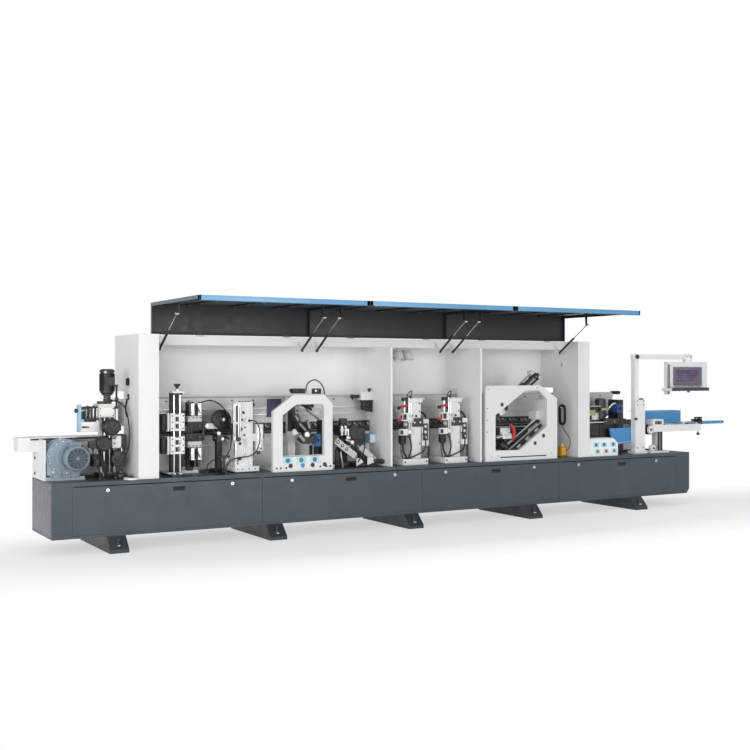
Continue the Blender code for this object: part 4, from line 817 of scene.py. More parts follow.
# ---------------------------------------------------------------- track and pressure beam
def track_details():
    kit = Kit("track_chain")
    pitch = 62
    count = int((7100 - 620) / pitch)
    for index in range(count):
        start = 620 + index * pitch
        kit.box("pad", (start, start + pitch * 0.88, 505, 615, 949.5, 956.5, 2))
    kit.box("rubber", (745, 7130, 478.5, 481.5, 936, 949, 1))
    kit.box("aluminium", (-70, 545, 449, 452, 944, 952.5, 1))
    kit.box("black", (-70, 545, 448.5, 452, 930, 944, 1))
    for z in (640, 770, 910):
        kit.bolt("black", "-X", 12, 6, (-2.5, 585, z))
    for index in range(14):
        kit.bolt("steel", "-Y", 7, 5, (950 + index * 440, 480.5, 842))
    kit.done()
    guide = Kit("track_guide")
    guide.box("grey", (*HOOD_SPAN, 653.5, 655.5, 945, 1035, 0.6))
    guide.box("cast", (*BEAM_SPAN, 477.5, 479.5, 926, 936, 1))
    guide.done()
    rollers = Kit("pressure_rollers", "pressure_beam")
    rollers.box("cast", (*BEAM_SPAN, 503, 507, 1012, 1030.5, 1), (*BEAM_SPAN, 605, 609, 1012, 1030.5, 1))
    rollers.box("black", (*BEAM_SPAN, 535, 600, 995, 1029.5, 2))
    rollers.rod("black", (6500, 530, 1274.5, 6625, 530, 1274.5, 20, 24))
    rollers.box("navy", (2150, 2292, 483, 499.5, 1082, 1255, 4))
    rollers.knob((6560, 510, 1274.5), "-Y", 22, 30)
    step = 74
    for index in range(int((6420 - 840) / step)):
        x = 840 + index * step
        y = 512 if index % 2 else 530
        rollers.lathe("zinc", (x, y, 1006), "Y", [(0, 24), (2, 29), (34, 29), (36, 24)], 20)
        rollers.lathe("black", (x, y - 4, 1006), "Y", [(0, 10), (6, 12), (10, 12)], 12)
    for index in range(26):
        x = 930 + index * 215
        rollers.bolt("black", "-Y", 8, 6, (x, 499.5, 1245))
        rollers.bolt("steel", "-Y", 7, 5, (x + 100, 499.5, 1048))
    for z in (1108, 1170):
        rollers.box("steel", (750, 6490, 499, 500.5, z - 1.5, z + 1.5, 0.4))
    rollers.done()


base_details()
door_details()
lid_details()
hood_details()
post_details()
track_details()


# ---------------------------------------------------------------- drive and outfeed end
def drive_details():
    x, z, front, rear, radius = 228, 790, 50, 250, 108
    kit = Kit("drive_motor_body", stands_for=("drive_motor",))
    kit.lathe(
        "motor", (x, rear, z), "-Y", [(0, radius * 0.95), (8, radius * 0.97), (22, radius * 0.97),
        (26, radius * 0.84), (125, radius * 0.84), (128, radius * 0.985), (140, radius), (176, radius),
        (190, radius * 0.96), (198, radius * 0.88), (200, radius * 0.82), (197.5, radius * 0.8),
        (190, radius * 0.79)], 48)
    kit.lathe("motor", (x, front + 7, z), "-Y", [(0, 14), (4, 14), (6, 10)], 20)
    kit.box(
        "motor", (x - 48, x + 48, 125, 205, z + 78, z + 112, 5),
        (x - 52, x + 52, 121, 209, z + 110, z + 128, 5))
    kit.lathe("rubber", (x, front + 9.5, z), "-Y", [(0, radius * 0.788), (0.8, radius * 0.788)], 40)
    kit.rod("black", (x + 50, 165, z + 95, x + 68, 165, z + 95, 11, 12))
    fins(kit, "motor", x, z, 125, 226, radius * 0.82, radius * 0.975, 30, 3, (62, 118))
    for step in range(1, 8):
        ring(kit, "motor", (x, front + 3.5, z), (0, 1, 0), radius * 0.79 * step / 7.6, 1.6, 40, 6)
    for step in range(12):
        out = Vector((math.cos(math.pi * step / 6), 0, math.sin(math.pi * step / 6)))
        hub = Vector((x, front + 4, z))
        kit.bar("motor", hub + out * 14, hub + out * 86, 1.8, 8, 0)
    for step in range(4):
        angle = math.radians(45 + 90 * step)
        kit.bolt(
            "steel", "-Y", 5, 4,
            (x + radius * 0.995 * math.cos(angle), 105, z + radius * 0.995 * math.sin(angle)))
    for a in (-42, 42):
        for y in (131, 199):
            kit.bolt("steel", "Z", 4.5, 3, (x + a, y, z + 127))
    kit.done()
    gear = Kit("gearbox_trim")
    middle = x - 55
    for y, r, thick in ((262, 150, 6), (405, 151, 6)):
        ring(gear, "gearbox", (middle, y, z), (0, 1, 0), r, thick, 56, 8)
    gear.lathe(
        "gearbox", (x, 278.5, z), "-Y", [(0, 124), (5, 127), (20, 127), (24.5, 123), (27.5, 108)], 40)
    for step in range(10):
        angle = 2 * math.pi * step / 10 + 0.3
        gear.bolt("steel", "-Y", 6, 6, (x + 116 * math.cos(angle), 253.5, z + 116 * math.sin(angle)))
    for step in range(9):
        angle = math.radians(70 + 26 * step)
        gear.bolt("steel", "-Y", 6, 5, (middle + 135 * math.cos(angle), 264.5, z + 135 * math.sin(angle)))
    for a in (middle - 140, middle + 140):
        gear.box("gearbox", (a - 22, a + 22, 232, 425, 597.5, 628, 6))
        gear.bolt("black", "Z", 11, 12, (a, 262, 628), (a, 395, 628))
    for a in (-115, -40, 35, 105):
        gear.prism("gearbox", [(236, 615), (266, 615), (266, 700)], middle + a - 4, middle + a + 4, "YZ")
    gear.bolt("steel", "-Y", 11, 8, (middle - 100, 264.5, z - 120))
    gear.bolt("steel", "Z", 12, 10, (middle - 30, 300, z + 149))
    gear.lathe("black", (middle - 152, 330, z), "-X", [(0, 50), (4, 50), (6, 46)], 28)
    gear.done()
    coupling = Kit("outfeed_parts")
    coupling.box("white", (400, 560, 360, 470, 800, 900, 6), (200, 310, 660, 690, 597.5, 940, 4))
    coupling.done()


def buffing_details():
    kit = Kit("buffing_head", stands_for=("buffing_unit",))
    kit.box(
        "white", (500, 640, 345, 430, FLOOR_TOP, 1200, 6), (452, 568, 187.5, 191, 1135, 1205, 2),
        (300, 452, 210, 360, 1002, 1088, 6), (592, 634, 180, 340, 872, 962, 4),
        (553, 628, 176, 186, 862, 936))
    kit.box(
        "cast", (515, 625, 325, 348, 640, 1180), (470, 680, 280, 450, FLOOR_TOP, 635, 5),
        (455, 500, 200, 300, 1239.5, 1262), (325, 445, 270, 360, 1085, 1215, 4),
        (575, 665, 200, 340, 700, 830, 6), (405, 485, 220, 340, 700, 790, 6),
        (600, 700, 130, 260, FLOOR_TOP, 615), (640, 690, 215, 245, 840, 970))
    kit.tube(
        "cast", [(340, 222, 1110), (338, 216, 1200), (352, 214, 1226), (368, 216, 1200),
        (366, 222, 1120)], 6)
    kit.tube(
        "cast", [(392, 222, 1110), (390, 216, 1200), (404, 214, 1226), (420, 216, 1200),
        (418, 222, 1120)], 6)
    kit.rod(
        "cast", (600, 190, 765, 600, 210, 765, 45), (445, 205, 745, 445, 225, 745, 32),
        (625, 160, 612, 625, 160, 640, 40))
    kit.rod(
        "steel", (570, 312, 620, 570, 312, 1120, 7), (300, 275, 1180, 345, 275, 1180, 12),
        (645, 210, 700, 645, 210, 860, 8), (500, 240, 620, 500, 240, 840, 9))
    kit.box("cream", (445, 575, 190, 360, 1125, 1240, 6), (441, 579, 187, 363, 1212, 1239.5, 4))
    kit.box(
        "black", (300, 330, 195, 212, 1038, 1052, 2), (338, 418, 108, 168, 874, 928, 5),
        (334, 422, 104, 112, 870, 932), (560, 612, 105, 165, 1012, 1062, 5))
    kit.lathe("black", (375, 130, 856), "Z", [(0, 10.5), (4, 13), (14, 13), (18, 11)], 12)
    kit.bolt("black", "-Y", 6, 4, (575, 176.5, 900))
    kit.rod("black", (600, 180, 765, 600, 200, 765, 20))
    kit.box("sky", (283, 306, 240, 310, 1000, 1235, 4), (300, 335, 245, 262, 1005, 1110))
    kit.knob((284, 275, 1183), "-X", 18, 26)
    for a in (528, 612):
        kit.rod("steel", (a, 318, 640, a, 318, 1190, 9))
    for a in (485, 665):
        kit.bolt("steel", "Z", 10, 9, (a, 300, 635))
    for a in (456, 564):
        for b in (1140, 1200):
            kit.bolt("black", "-Y", 5, 3, (a, 188, b))
    for a in (345, 375, 405, 437):
        kit.rod("steel", (a, 235, 1115, a, 235, 1205, 11))
        kit.rod("black", (a, 235, 1195, a, 235, 1222, 8))
        kit.box("cast", (a - 13, a + 13, 222, 250, 1100, 1122, 2))
    for a, b in ((318, 1045), (335, 1045), (352, 1045)):
        kit.rod("black", (a, 212, b, a, 190, b, 6))
    for b in (1020, 1215):
        kit.bolt("steel", "-X", 7, 4, (283.5, 275, b))
    small_motor(kit, 530, 1045, 80, 200, 72)
    small_motor(kit, 461, 905, 80, 200, 66)
    for x, z, radius in ((530, 1045, 72), (461, 905, 66)):
        kit.rod("cast", (x, 190, z, x + 40, 345, z, radius * 0.45))
        kit.lathe(
            "felt", (x + 20, 275, z), (0.25, 1, 0), [(0, 20), (1, radius * 0.74), (6, radius * 0.78),
            (12, radius * 0.74), (18, radius * 0.78), (24, radius * 0.74), (26, 20)], 36)
    for step in range(5):
        kit.rod("black", (655, 225, 875 + step * 18, 680, 225, 875 + step * 18, 6, 10))
    for offset, z in ((0, 700), (12, 690), (24, 680)):
        kit.tube(
            "rubber", [(440 + offset, 200 + offset, 840), (455 + offset, 185, 760),
            (470 + offset, 175, z), (490 + offset, 180, 640), (500 + offset, 185, FLOOR_TOP)], 6, 8)
    kit.done()

    x, y = 535, 265
    motor = Kit("upright_motor_body", stands_for=("upright_motor",))
    motor.lathe(
        "cast", (x, y, 1240.5), "Z", [(0, 40), (6, 40), (8, 30), (22, 30), (24, 35), (36, 35), (40, 31),
        (70, 31), (74, 46), (86, 48), (92, 60), (96, 56), (268, 56), (270, 64), (282, 64), (294, 58),
        (299, 44), (299, 12)], 40)
    motor.box(
        "cast", (x - 40, x + 40, y - 78, y - 50, 1395, 1470, 5), (608, 637, 265, 295, 1255, 1290),
        (600, 640, 260, 360, 1195, 1215))
    motor.rod("cast", (622, 280, 1205, 622, 280, 1395, 9))
    motor.box("black", (x - 36, x + 36, y - 82, y - 76, 1400, 1465), (612, 632, 268, 292, 1380, 1405))
    motor.lathe("black", (x + 18, y, 1262), "X", [(0, 13), (18, 13), (22, 10.5), (27, 10.5)], 12)
    motor.lathe("steel", (x - 30, y - 55, 1512), "-Y", [(0, 12), (4, 12), (6, 9)], 20)
    motor.rod("steel", (560, 280, 1272, 632, 280, 1272, 7))
    upright_fins(motor, "cast", x, y, 1345, 1502, 54, 64, 26)
    for step in range(4):
        angle = math.radians(45 + 90 * step)
        motor.bolt("steel", "Z", 6, 6, (x + 50 * math.cos(angle), y + 50 * math.sin(angle), 1284))
    motor.done()


drive_details()
buffing_details()


# ---------------------------------------------------------------- polishing station
def chain_ribs(kit, x, y, z, count):
    """Upright dark ribs of a brush motor seen from the side."""
    kit.box("cast", (*x, y[0] + 8, y[1], *z, 6))
    kit.ribs("black", (x[0] + 6, x[1] - 6), (y[0], y[0] + 14), (z[0] + 6, z[1] - 6), count, "X", 5)


def polish_block(kit, low, high):
    """One bored block on the two guide bars, with its motor to the left."""
    x0, x1, y = 1046, 1173, 85
    step = (high - low) / 5
    kit.box("white", (x0, 1088, y, 179.5, low, high, 4))
    kit.box(
        "white", (1141, x1, y, 179.5, low, high, 4), (1086, 1143, 134, 179.5, low, high, 2),
        (1021, 1034, y + 12, 180, low - 2, high + 2, 2))
    kit.bolt("steel", "-Y", 8, 4, (1115, y + 4.5, low + step * 2.35))
    kit.box("aluminium", (1034, 1046, y + 30, 160, low + 20, high - 20, 2))
    kit.lathe(
        "black", (1000, 150, low + 4), "Z", [(0, 28), (4, 36), (10, 38.5), (high - low - 18, 38.5),
        (high - low - 12, 36), (high - low - 8, 20)], 28)
    kit.box("cast", (1000, 1056, 135, 165, low + 50, high - 50))
    for index in (0, 2, 4):
        kit.box("white", (1086, 1143, y + 4, 106, low + step * index, low + step * (index + 0.7)))
    for x in (1060, 1160):
        for index in range(3):
            kit.bolt("black", "-Y", 6.2, 3, (x, y + 0.4, low + 22 + index * (high - low - 44) / 2))
    upright_fins(kit, "black", 1000, 150, low + 18, high - 20, 36, 42.5, 22, 2.8)


def polishing_details():
    x0, x1, y = 1076, 1153, 120
    bars = (x0 + 11, x1 - 11)
    kit = Kit("polish_column_parts", stands_for=("polish_column",))
    kit.box(
        "cast", (x0 - 20, x1 + 20, 90, 400, FLOOR_TOP, 612), (x0, x1, 180, 220, 612, 1340),
        (x0 - 4, x1 + 4, 100, 190, 1312, 1329, 2))
    kit.box("white", (x0 - 20, x1 + 20, 178, 400, 611, 627), (x0 - 12, x1 + 22, 90, 200, 1328, 1345, 4))
    for bar in bars:
        kit.rod("chrome", (bar, y, 602, bar, y, 1320, 9))
        kit.lathe("steel", (bar, y, 611), "Z", [(0, 17), (4, 18), (14, 18), (18, 14.5)], 20)
        kit.rod("white", (bar, 91.5, 622, bar, 87, 622, 8, 16, 1))
    middle = (x0 + x1) / 2
    kit.rod("black", (middle, y, 615, middle, y, 1372, 7, 16))
    kit.lathe(
        "black", (middle, y, 1366), "Z", [(0, 13), (10, 12), (18, 16), (24, 26), (30, 28), (40, 28),
        (44, 24)], 20)
    kit.lathe("steel", (middle, y, 1344), "Z", [(0, 14), (10, 14), (12, 10), (20, 10)], 6)
    kit.tube(
        "rubber", [(1018, 160, 860), (985, 185, 880), (965, 200, 930), (955, 220, 1000), (970, 250, 1060),
        (990, 300, 1090)], 6, 8)
    for index in range(26):
        ring(kit, "cast", (middle, y, 668 + index * 4.2), (0, 0, 1), 6.8, 0.8, 12, 4)
    for index in range(34):
        ring(kit, "cast", (middle, y, 1162 + index * 4.2), (0, 0, 1), 6.8, 0.8, 12, 4)
    polish_block(kit, 794, 948)
    kit.done()
    head = Kit("polish_head_parts", "polish_head", stands_for=("polish_head",))
    polish_block(head, 997, 1151)
    head.done()

    unit = Kit("polish_unit_parts", stands_for=("polish_unit",))
    unit.box("white", (1230, 1400, 340, 400, FLOOR_TOP, 627, 4), (1325, 1336, 335, 375, 1200, 1245, 2))
    unit.box("cast", (1285, 1345, 335, 380, 620, 1240, 4), (1405, 1425, 260, 340, 900, 1060, 4))
    unit.box("black", (1214, 1262, 300, 360, 660, 1170, 4), (1225, 1252, 240, 340, 972, 1030, 4))
    unit.lathe("black", (1333, 355, 1225), "X", [(0, 13), (16, 13), (20, 10.5), (27.2, 10.5)], 12)
    unit.box("cream", (1250, 1381, 215, 340, 1068, 1118, 6), (1250, 1381, 215, 340, 840, 892, 6))
    for low, up in ((1128, 1), (728, -1)):
        high = low + 100
        for x in (1305, 1372):
            unit.rod("aluminium", (x, 250, low, x, 250, high, 30))
            nose = (high + 2, high + 16) if up > 0 else (low - 16, low - 2)
            unit.rod("black", (x, 250, nose[0], x, 250, nose[1], 11))
            unit.bolt("steel", "-Y", 8, 4, (x, 221.5, low + 50))
            for end in (low - 4, high - 6):
                unit.rod("steel", (x, 250, end, x, 250, end + 10, 33.5, 28))
        unit.box("black", (1333, 1344, 222, 270, low, high, 2))
        unit.tube(
            "black", [(1338, 222, low + 75), (1340, 205, low + 60), (1352, 200, low + 35),
            (1366, 214, low + 20)], 5)
    for z in (1105, 853):
        for x in (1262, 1300, 1333, 1368):
            unit.bolt("black", "-Y", 6, 4, (x, 215.5, z))
    for x in (1272, 1292, 1322, 1352):
        unit.rod("black", (x, 235, 1115, x, 235, 1128, 9, 12))
    chain_ribs(unit, (1252, 1412), (235, 340), (990, 1066), 9)
    chain_ribs(unit, (1240, 1412), (235, 340), (893, 962), 9)
    for z in (1028, 928):
        for x in (1290, 1370):
            unit.lathe("cast", (x, 236, z), "-Y", [(0, 20), (6, 20), (8, 16), (8, 6)], 20)
    for z in (1020, 925):
        unit.rod("felt", (1252.5, 300, z, 1226.5, 300, z, 34))
    for x in (1320, 1352):
        unit.box("cast", (x, x + 20, 240, 340, 660, 725))
    unit.done()


# ---------------------------------------------------------------- buffing disc
def disc_details():
    x, z = 1600, 1080
    kit = Kit("buffing_disc_parts", stands_for=("buffing_disc_unit",))
    kit.lathe(
        "cast", (x, 340, z), "-Y", [(0, 70), (4, 84), (10, 88), (24, 88), (28, 80), (44, 80), (48, 88),
        (66, 88), (72, 82), (76, 60), (78, 34)], 44)
    kit.lathe("cast", (x, 264, z), "-Y", [(0, 42), (10, 42), (14, 36), (34, 30), (38, 24)], 28)
    kit.box(
        "cast", (x - 30, x + 20, 325, 380, FLOOR_TOP, z, 4), (x - 70, x + 10, 220, 340, 882, 948, 6),
        (x - 60, x + 20, 300, 420, FLOOR_TOP, 627, 4), (x - 40, x + 4, 165, 320, FLOOR_TOP, 628))
    kit.rod("cast", (x - 92, 230, 915, x - 60, 230, 915, 14), (x + 0, 232, 930, x + 48, 232, 905, 10))
    kit.lathe("steel", (x, 228, z), "-Y", [(0, 16), (7, 16), (8, 13)], 6)
    kit.lathe("steel", (x - 132, 297, 1022), "-Y", [(0, 15), (4, 15), (5, 8), (2, 7)], 6)
    kit.rod(
        "steel", (x - 50, 220, 955, x - 50, 340, 955, 17), (x - 20, 225, 905, x - 20, 205, 905, 14),
        (x - 45, 184, 735, x - 8, 200, 660, 5), (x + 22, 184, 735, x - 4, 200, 665, 5))
    kit.box("white", (x - 130, x - 20, 310, 340, 995, 1045))
    kit.rod("white", (x - 132, 310.5, 1022, x - 132, 296, 1022, 24))
    kit.rod("black", (x - 104, 230, 915, x - 90, 230, 915, 18), (x - 18, 180, 625, x - 18, 180, 740, 6))
    kit.box("black", (x - 70, x + 36, 168, 192, 738, 757, 6))
    for index in range(30):
        angle = 2 * math.pi * index / 30
        out, up = x + 70 * math.cos(angle), z + 70 * math.sin(angle)
        kit.box(
            "black", (out - 14, out + 14, 258.5, 266.5, up - 3, up + 3, 1, ("Y", -math.degrees(angle))))
    for radius in (50, 60):
        ring(kit, "black", (x, 262.5, z), (0, 1, 0), radius, 2.6, 36, 6)
    for index in range(6):
        angle = math.radians(60 * index + 20)
        kit.bolt("steel", "-Y", 5, 5, (x + 30 * math.cos(angle), 246, z + 30 * math.sin(angle)))
    kit.done()


# ---------------------------------------------------------------- flat scraper
def scraper_details():
    kit = Kit("flat_scraper_parts", stands_for=("flat_scraper",))
    kit.box(
        "white", (1668, 1842, 130, 152, 622, 1240, 4), (1665, 1900, 118, 390, 608, 655, 6),
        (1700, 1780, 140, 360, 640, 900, 5), (1876, 1952, 140, 260, 790, 1035, 10),
        (1830, 1878, 140, 200, 880, 950), (1760, 1785, 90, 130.5, 1055, 1090, 2))
    kit.prism("white", [(1780, 660), (1833, 660), (1833, 760)], 115, 131)
    kit.box("cast", (1665, 1870, 120, 400, FLOOR_TOP, 610), (1945, 1985, 225, 262, 930, 1020))
    kit.rod("cast", (1674, 112, 900, 1674, 112, 1210, 7), (1915, 170, 790, 1915, 170, 757, 15))
    kit.box(
        "aluminium", (1640, 1715, 112, 131, 1195, 1226), (1640, 1715, 112, 131, 895, 925),
        (1655, 1672, 100, 128, 760, 870), (1890, 1940, 134, 142, 830, 1000))
    kit.lathe("steel", (1674, 108, 1050), "-Y", [(0, 13), (6, 13), (8, 9)], 16)
    kit.rod("steel", (1725, 128, 727, 1775, 128, 775, 6))
    kit.tube("steel", [(1752, 124, 800), (1763, 118, 860), (1756, 116, 900)], 6)
    kit.lathe("black", (1690, 126, 905), "-Y", [(0, 12), (10, 12), (14, 20), (30, 21), (34, 18)], 20)
    kit.lathe(
        "black", (1725, 130, 727), (-0.8, -0.6, 0.1), [(0, 8), (12, 8), (16, 16), (34, 17), (38, 13)], 18)
    kit.lathe("black", (1842, 160, 1215), "X", [(0, 10), (8, 10), (10, 17), (22, 18), (26, 14)], 20)
    kit.bolt("black", "-Y", 8, 4, (1928, 140, 812))
    kit.lathe("black", (1775.5, 100, 1072), "X", [(0, 13), (12, 13), (16, 10.5), (24.7, 10.5)], 12)
    kit.box("blue", (1965, 1995, 220, 270, 900, 975))
    for x in (1715, 1745, 1775, 1805):
        kit.rod("black", (x, 141.5, 1239, x, 141.5, 1249, 7, 14, 1))
    for x in (1694, 1815):
        for z in (682, 705):
            kit.bolt("black", "-Y", 8, 3, (x, 130.5, z))
    for x in (1687, 1735, 1800, 1860):
        kit.bolt("black", "-Y", 6, 3, (x, 118.5, 633))
    for x, z, radius in ((1724, 995, 17), (1748, 1145, 13), (1758, 940, 10),
                         (1716, 865, 14), (1765, 1010, 8), (1735, 1080, 10)):
        kit.rod("black", (x, 130.5, z, x, 126, z, radius, 18, 1))
        kit.rod("cast", (x, 126.5, z, x, 125, z, radius * 0.5, 12, 0.5))
    for x, thick in ((1651.5, 12), (1697, 14)):
        kit.box("aluminium", (x - thick, x + thick, 98, 118, 900, 1225))
        kit.box("cast", (x - 3, x + 3, 96.5, 99, 930, 1200, 1))
    for z in (830, 885, 940, 995):
        kit.lathe("steel", (1915, 134.5, z), "-Y", [(0, 13), (3, 13), (4, 7), (1.5, 6)], 18)
    kit.done()


polishing_details()
disc_details()
scraper_details()


# ---------------------------------------------------------------- corner rounding station
def gauge(kit, x, y, z, half_width, half_height, glass="lens"):
    """A square-cased position counter with a round window, knurled rim and plain pointer."""
    kit.box("ice", (x - half_width, x + half_width, y - 4, y + 2, z - half_height, z + half_height, 2))
    radius = half_height * 0.72
    kit.lathe("black", (x, y - 4, z), "-Y", [(0, radius), (1.2, radius), (2, radius * 0.9)], 28)
    kit.box("black", (x - radius * 0.5, x + radius * 0.5, y - 7.2, y - 6.2, z - 2.2, z + 2.2, 0.3))
    kit.lathe(glass, (x, y - 5.8, z), "-Y", [(0, radius * 0.86), (0.6, radius * 0.84)], 28)


def rounding_details():
    near = FRAME_FACE
    kit = Kit("rounding_frame_trim")
    for x in (2035, 2075, 2130, 2480, 2545, 2585):
        kit.bolt("black", "-Y", 9, 4, (x, near, 632))
    kit.box(
        "cast", (2284, 2410, 200, 270, 1312, 1358, 6), (2095, 2523, 100, 115, 652, 734),
        (2440, 2500, 200, 260, 1176, 1235, 4), (2530, 2600, 240, 360, 620, 810, 4),
        (2300, 2380, 345, 361, 950, 1200, 2))
    kit.rod("cast", (2370, 200, 1210, 2490, 240, 1155, 14))
    kit.box(
        "black", (2300, 2345, 190, 205, 1318, 1352), (2355, 2400, 190, 205, 1318, 1352),
        (2505, 2580, 200, 260, 1305, 1357, 6), (2580, 2596, 200, 300, 714, 1056))
    kit.rod("black", (2284, 235, 1340, 2262, 235, 1340, 12))
    kit.lathe("black", (2445, 255, 1298), "Z", [(0, 17), (6, 17), (8, 13), (28, 12), (31.8, 9.5)], 12)
    kit.lathe("black", (2640, 260, 1099.5), "Z", [(0, 16), (10, 16), (13, 12), (30.2, 9.5)], 12)
    kit.bolt("black", "-Y", 12, 5, (2552, 211, 865))
    kit.box("white", (2270, 2425, 125, 280, 1296, 1312, 2), (2405, 2465, 210, 270, 1205, 1262))
    kit.rod("steel", (2520, 202, 1335, 2520, 193, 1335, 10), (2430, 214, 1160, 2456, 223, 1145, 17))
    kit.box("steel", (2512, 2522, 250, 262, 660, 830, 1))
    kit.box("panel", (2097, 2521, 68, 74, 735, 741, 1))
    kit.rod("aluminium", (2452, 222, 1147, 2585, 270, 1068, 13))
    kit.box("blue", (2520, 2585, 210, 290, 805, 925, 6), (2485, 2530, 220, 280, 860, 905, 4))
    for x in (2144, 2282, 2421):
        gauge(kit, x, near, 700, 46, 30)
    for x, finish in ((2174, "black"), (2297, "blue"), (2400, "black"), (2526, "black")):
        kit.lathe(finish, (x, near, 650), "-Y", [(0, 17), (1, 20), (5, 20), (6.5, 16), (6.5, 6)], 24)
        kit.rod("steel", (x, near - 1, 640, x + 14, near - 1, 622, 4, 10))
    for x in (2455, 2490):
        kit.lathe("steel", (x, near, 675), "-Y", [(0, 10), (4, 10), (5, 7), (6.5, 6)], 16)
    kit.done()

    arm = Kit("rounding_arm_parts", "rounding_arm", stands_for=("rounding_arm",))
    arm.rod("steel", (2340, 200, 1230, 2340, 359.7, 1230, 19))
    arm.rod("cast", (2340, 300, 1230, 2340, 340, 1230, 30), (2390, 220, 1010, 2440, 170, 930, 30))
    arm.prism("cast", [(2322, 1135), (2358, 1135), (2415, 955), (2362, 940)], 245, 275, "XZ", 3)
    arm.prism(
        "zinc", [(2317, 1236), (2325, 1258), (2340, 1266), (2356, 1258), (2363, 1236), (2358, 1120),
        (2322, 1120)], 235, 255, "XZ", 3)
    arm.prism("zinc", [(2300, 1100), (2318, 1112), (2355, 1065), (2338, 1045)], 210, 240, "XZ", 3)
    arm.rod("zinc", (2348, 200, 1030, 2410, 180, 955, 16))
    arm.prism("zinc", [(2405, 1055), (2425, 1065), (2450, 985), (2428, 975)], 160, 190, "XZ", 3)
    arm.prism("white", [(2255, 960), (2285, 985), (2325, 935), (2268, 915)], 160, 190, "XZ", 5)
    for z in (1225, 1150):
        arm.rod("black", (2340, 236, z, 2340, 229, z, 11, 18))
    crescent = []
    for step in range(15):
        angle = math.radians(205 + step * 10)
        crescent.append((2400 + 95 * math.cos(angle), 925 + 88 * math.sin(angle)))
    for step in range(15):
        angle = math.radians(345 - step * 10)
        crescent.append((2405 + 52 * math.cos(angle), 940 + 40 * math.sin(angle)))
    arm.prism("black", crescent, 125, 190, "XZ", 4)
    arm.rod("cast", (2400, 140, 915, 2400, 204, 915, 43))
    arm.lathe("steel", (2400, 141, 925), "-Y", [(0, 28), (6, 28), (8, 22), (8, 10), (16, 10)], 24)
    arm.prism("zinc", [(2300, 915), (2322, 935), (2372, 875), (2352, 855)], 118, 135)
    arm.rod("rubber", (2430, 150, 885, 2455, 165, 900, 12))
    for index in range(7):
        angle = math.radians(220 + 20 * index)
        arm.bolt("cast", "-Y", 6, 3, (2402 + 75 * math.cos(angle), 125, 930 + 68 * math.sin(angle)))
    arm.done()


# ---------------------------------------------------------------- profile scraper
def bar_plate(kit, finish, low, high, width, near, far, holes):
    """A slanted slotted plate between two (X, Z) points, with dark holes along it."""
    low, high = Vector((low[0], 0, low[1])), Vector((high[0], 0, high[1]))
    along = (high - low).normalized()
    across = Vector((-along.z, 0, along.x)) * width / 2
    corners = [low - across, high - across, high + across, low + across]
    kit.prism(finish, [(spot.x, spot.z) for spot in corners], near, far, "XZ", 3)
    for share in holes:
        spot = low + (high - low) * share
        kit.lathe(
            "black", (spot.x, near + 0.5, spot.z), "-Y",
            [(0, width * 0.27), (1.5, width * 0.27), (2, width * 0.22)], 20)
        kit.lathe(
            "steel", (spot.x, near - 1, spot.z), "-Y",
            [(0, width * 0.12), (3, width * 0.12), (4, width * 0.08)], 10)


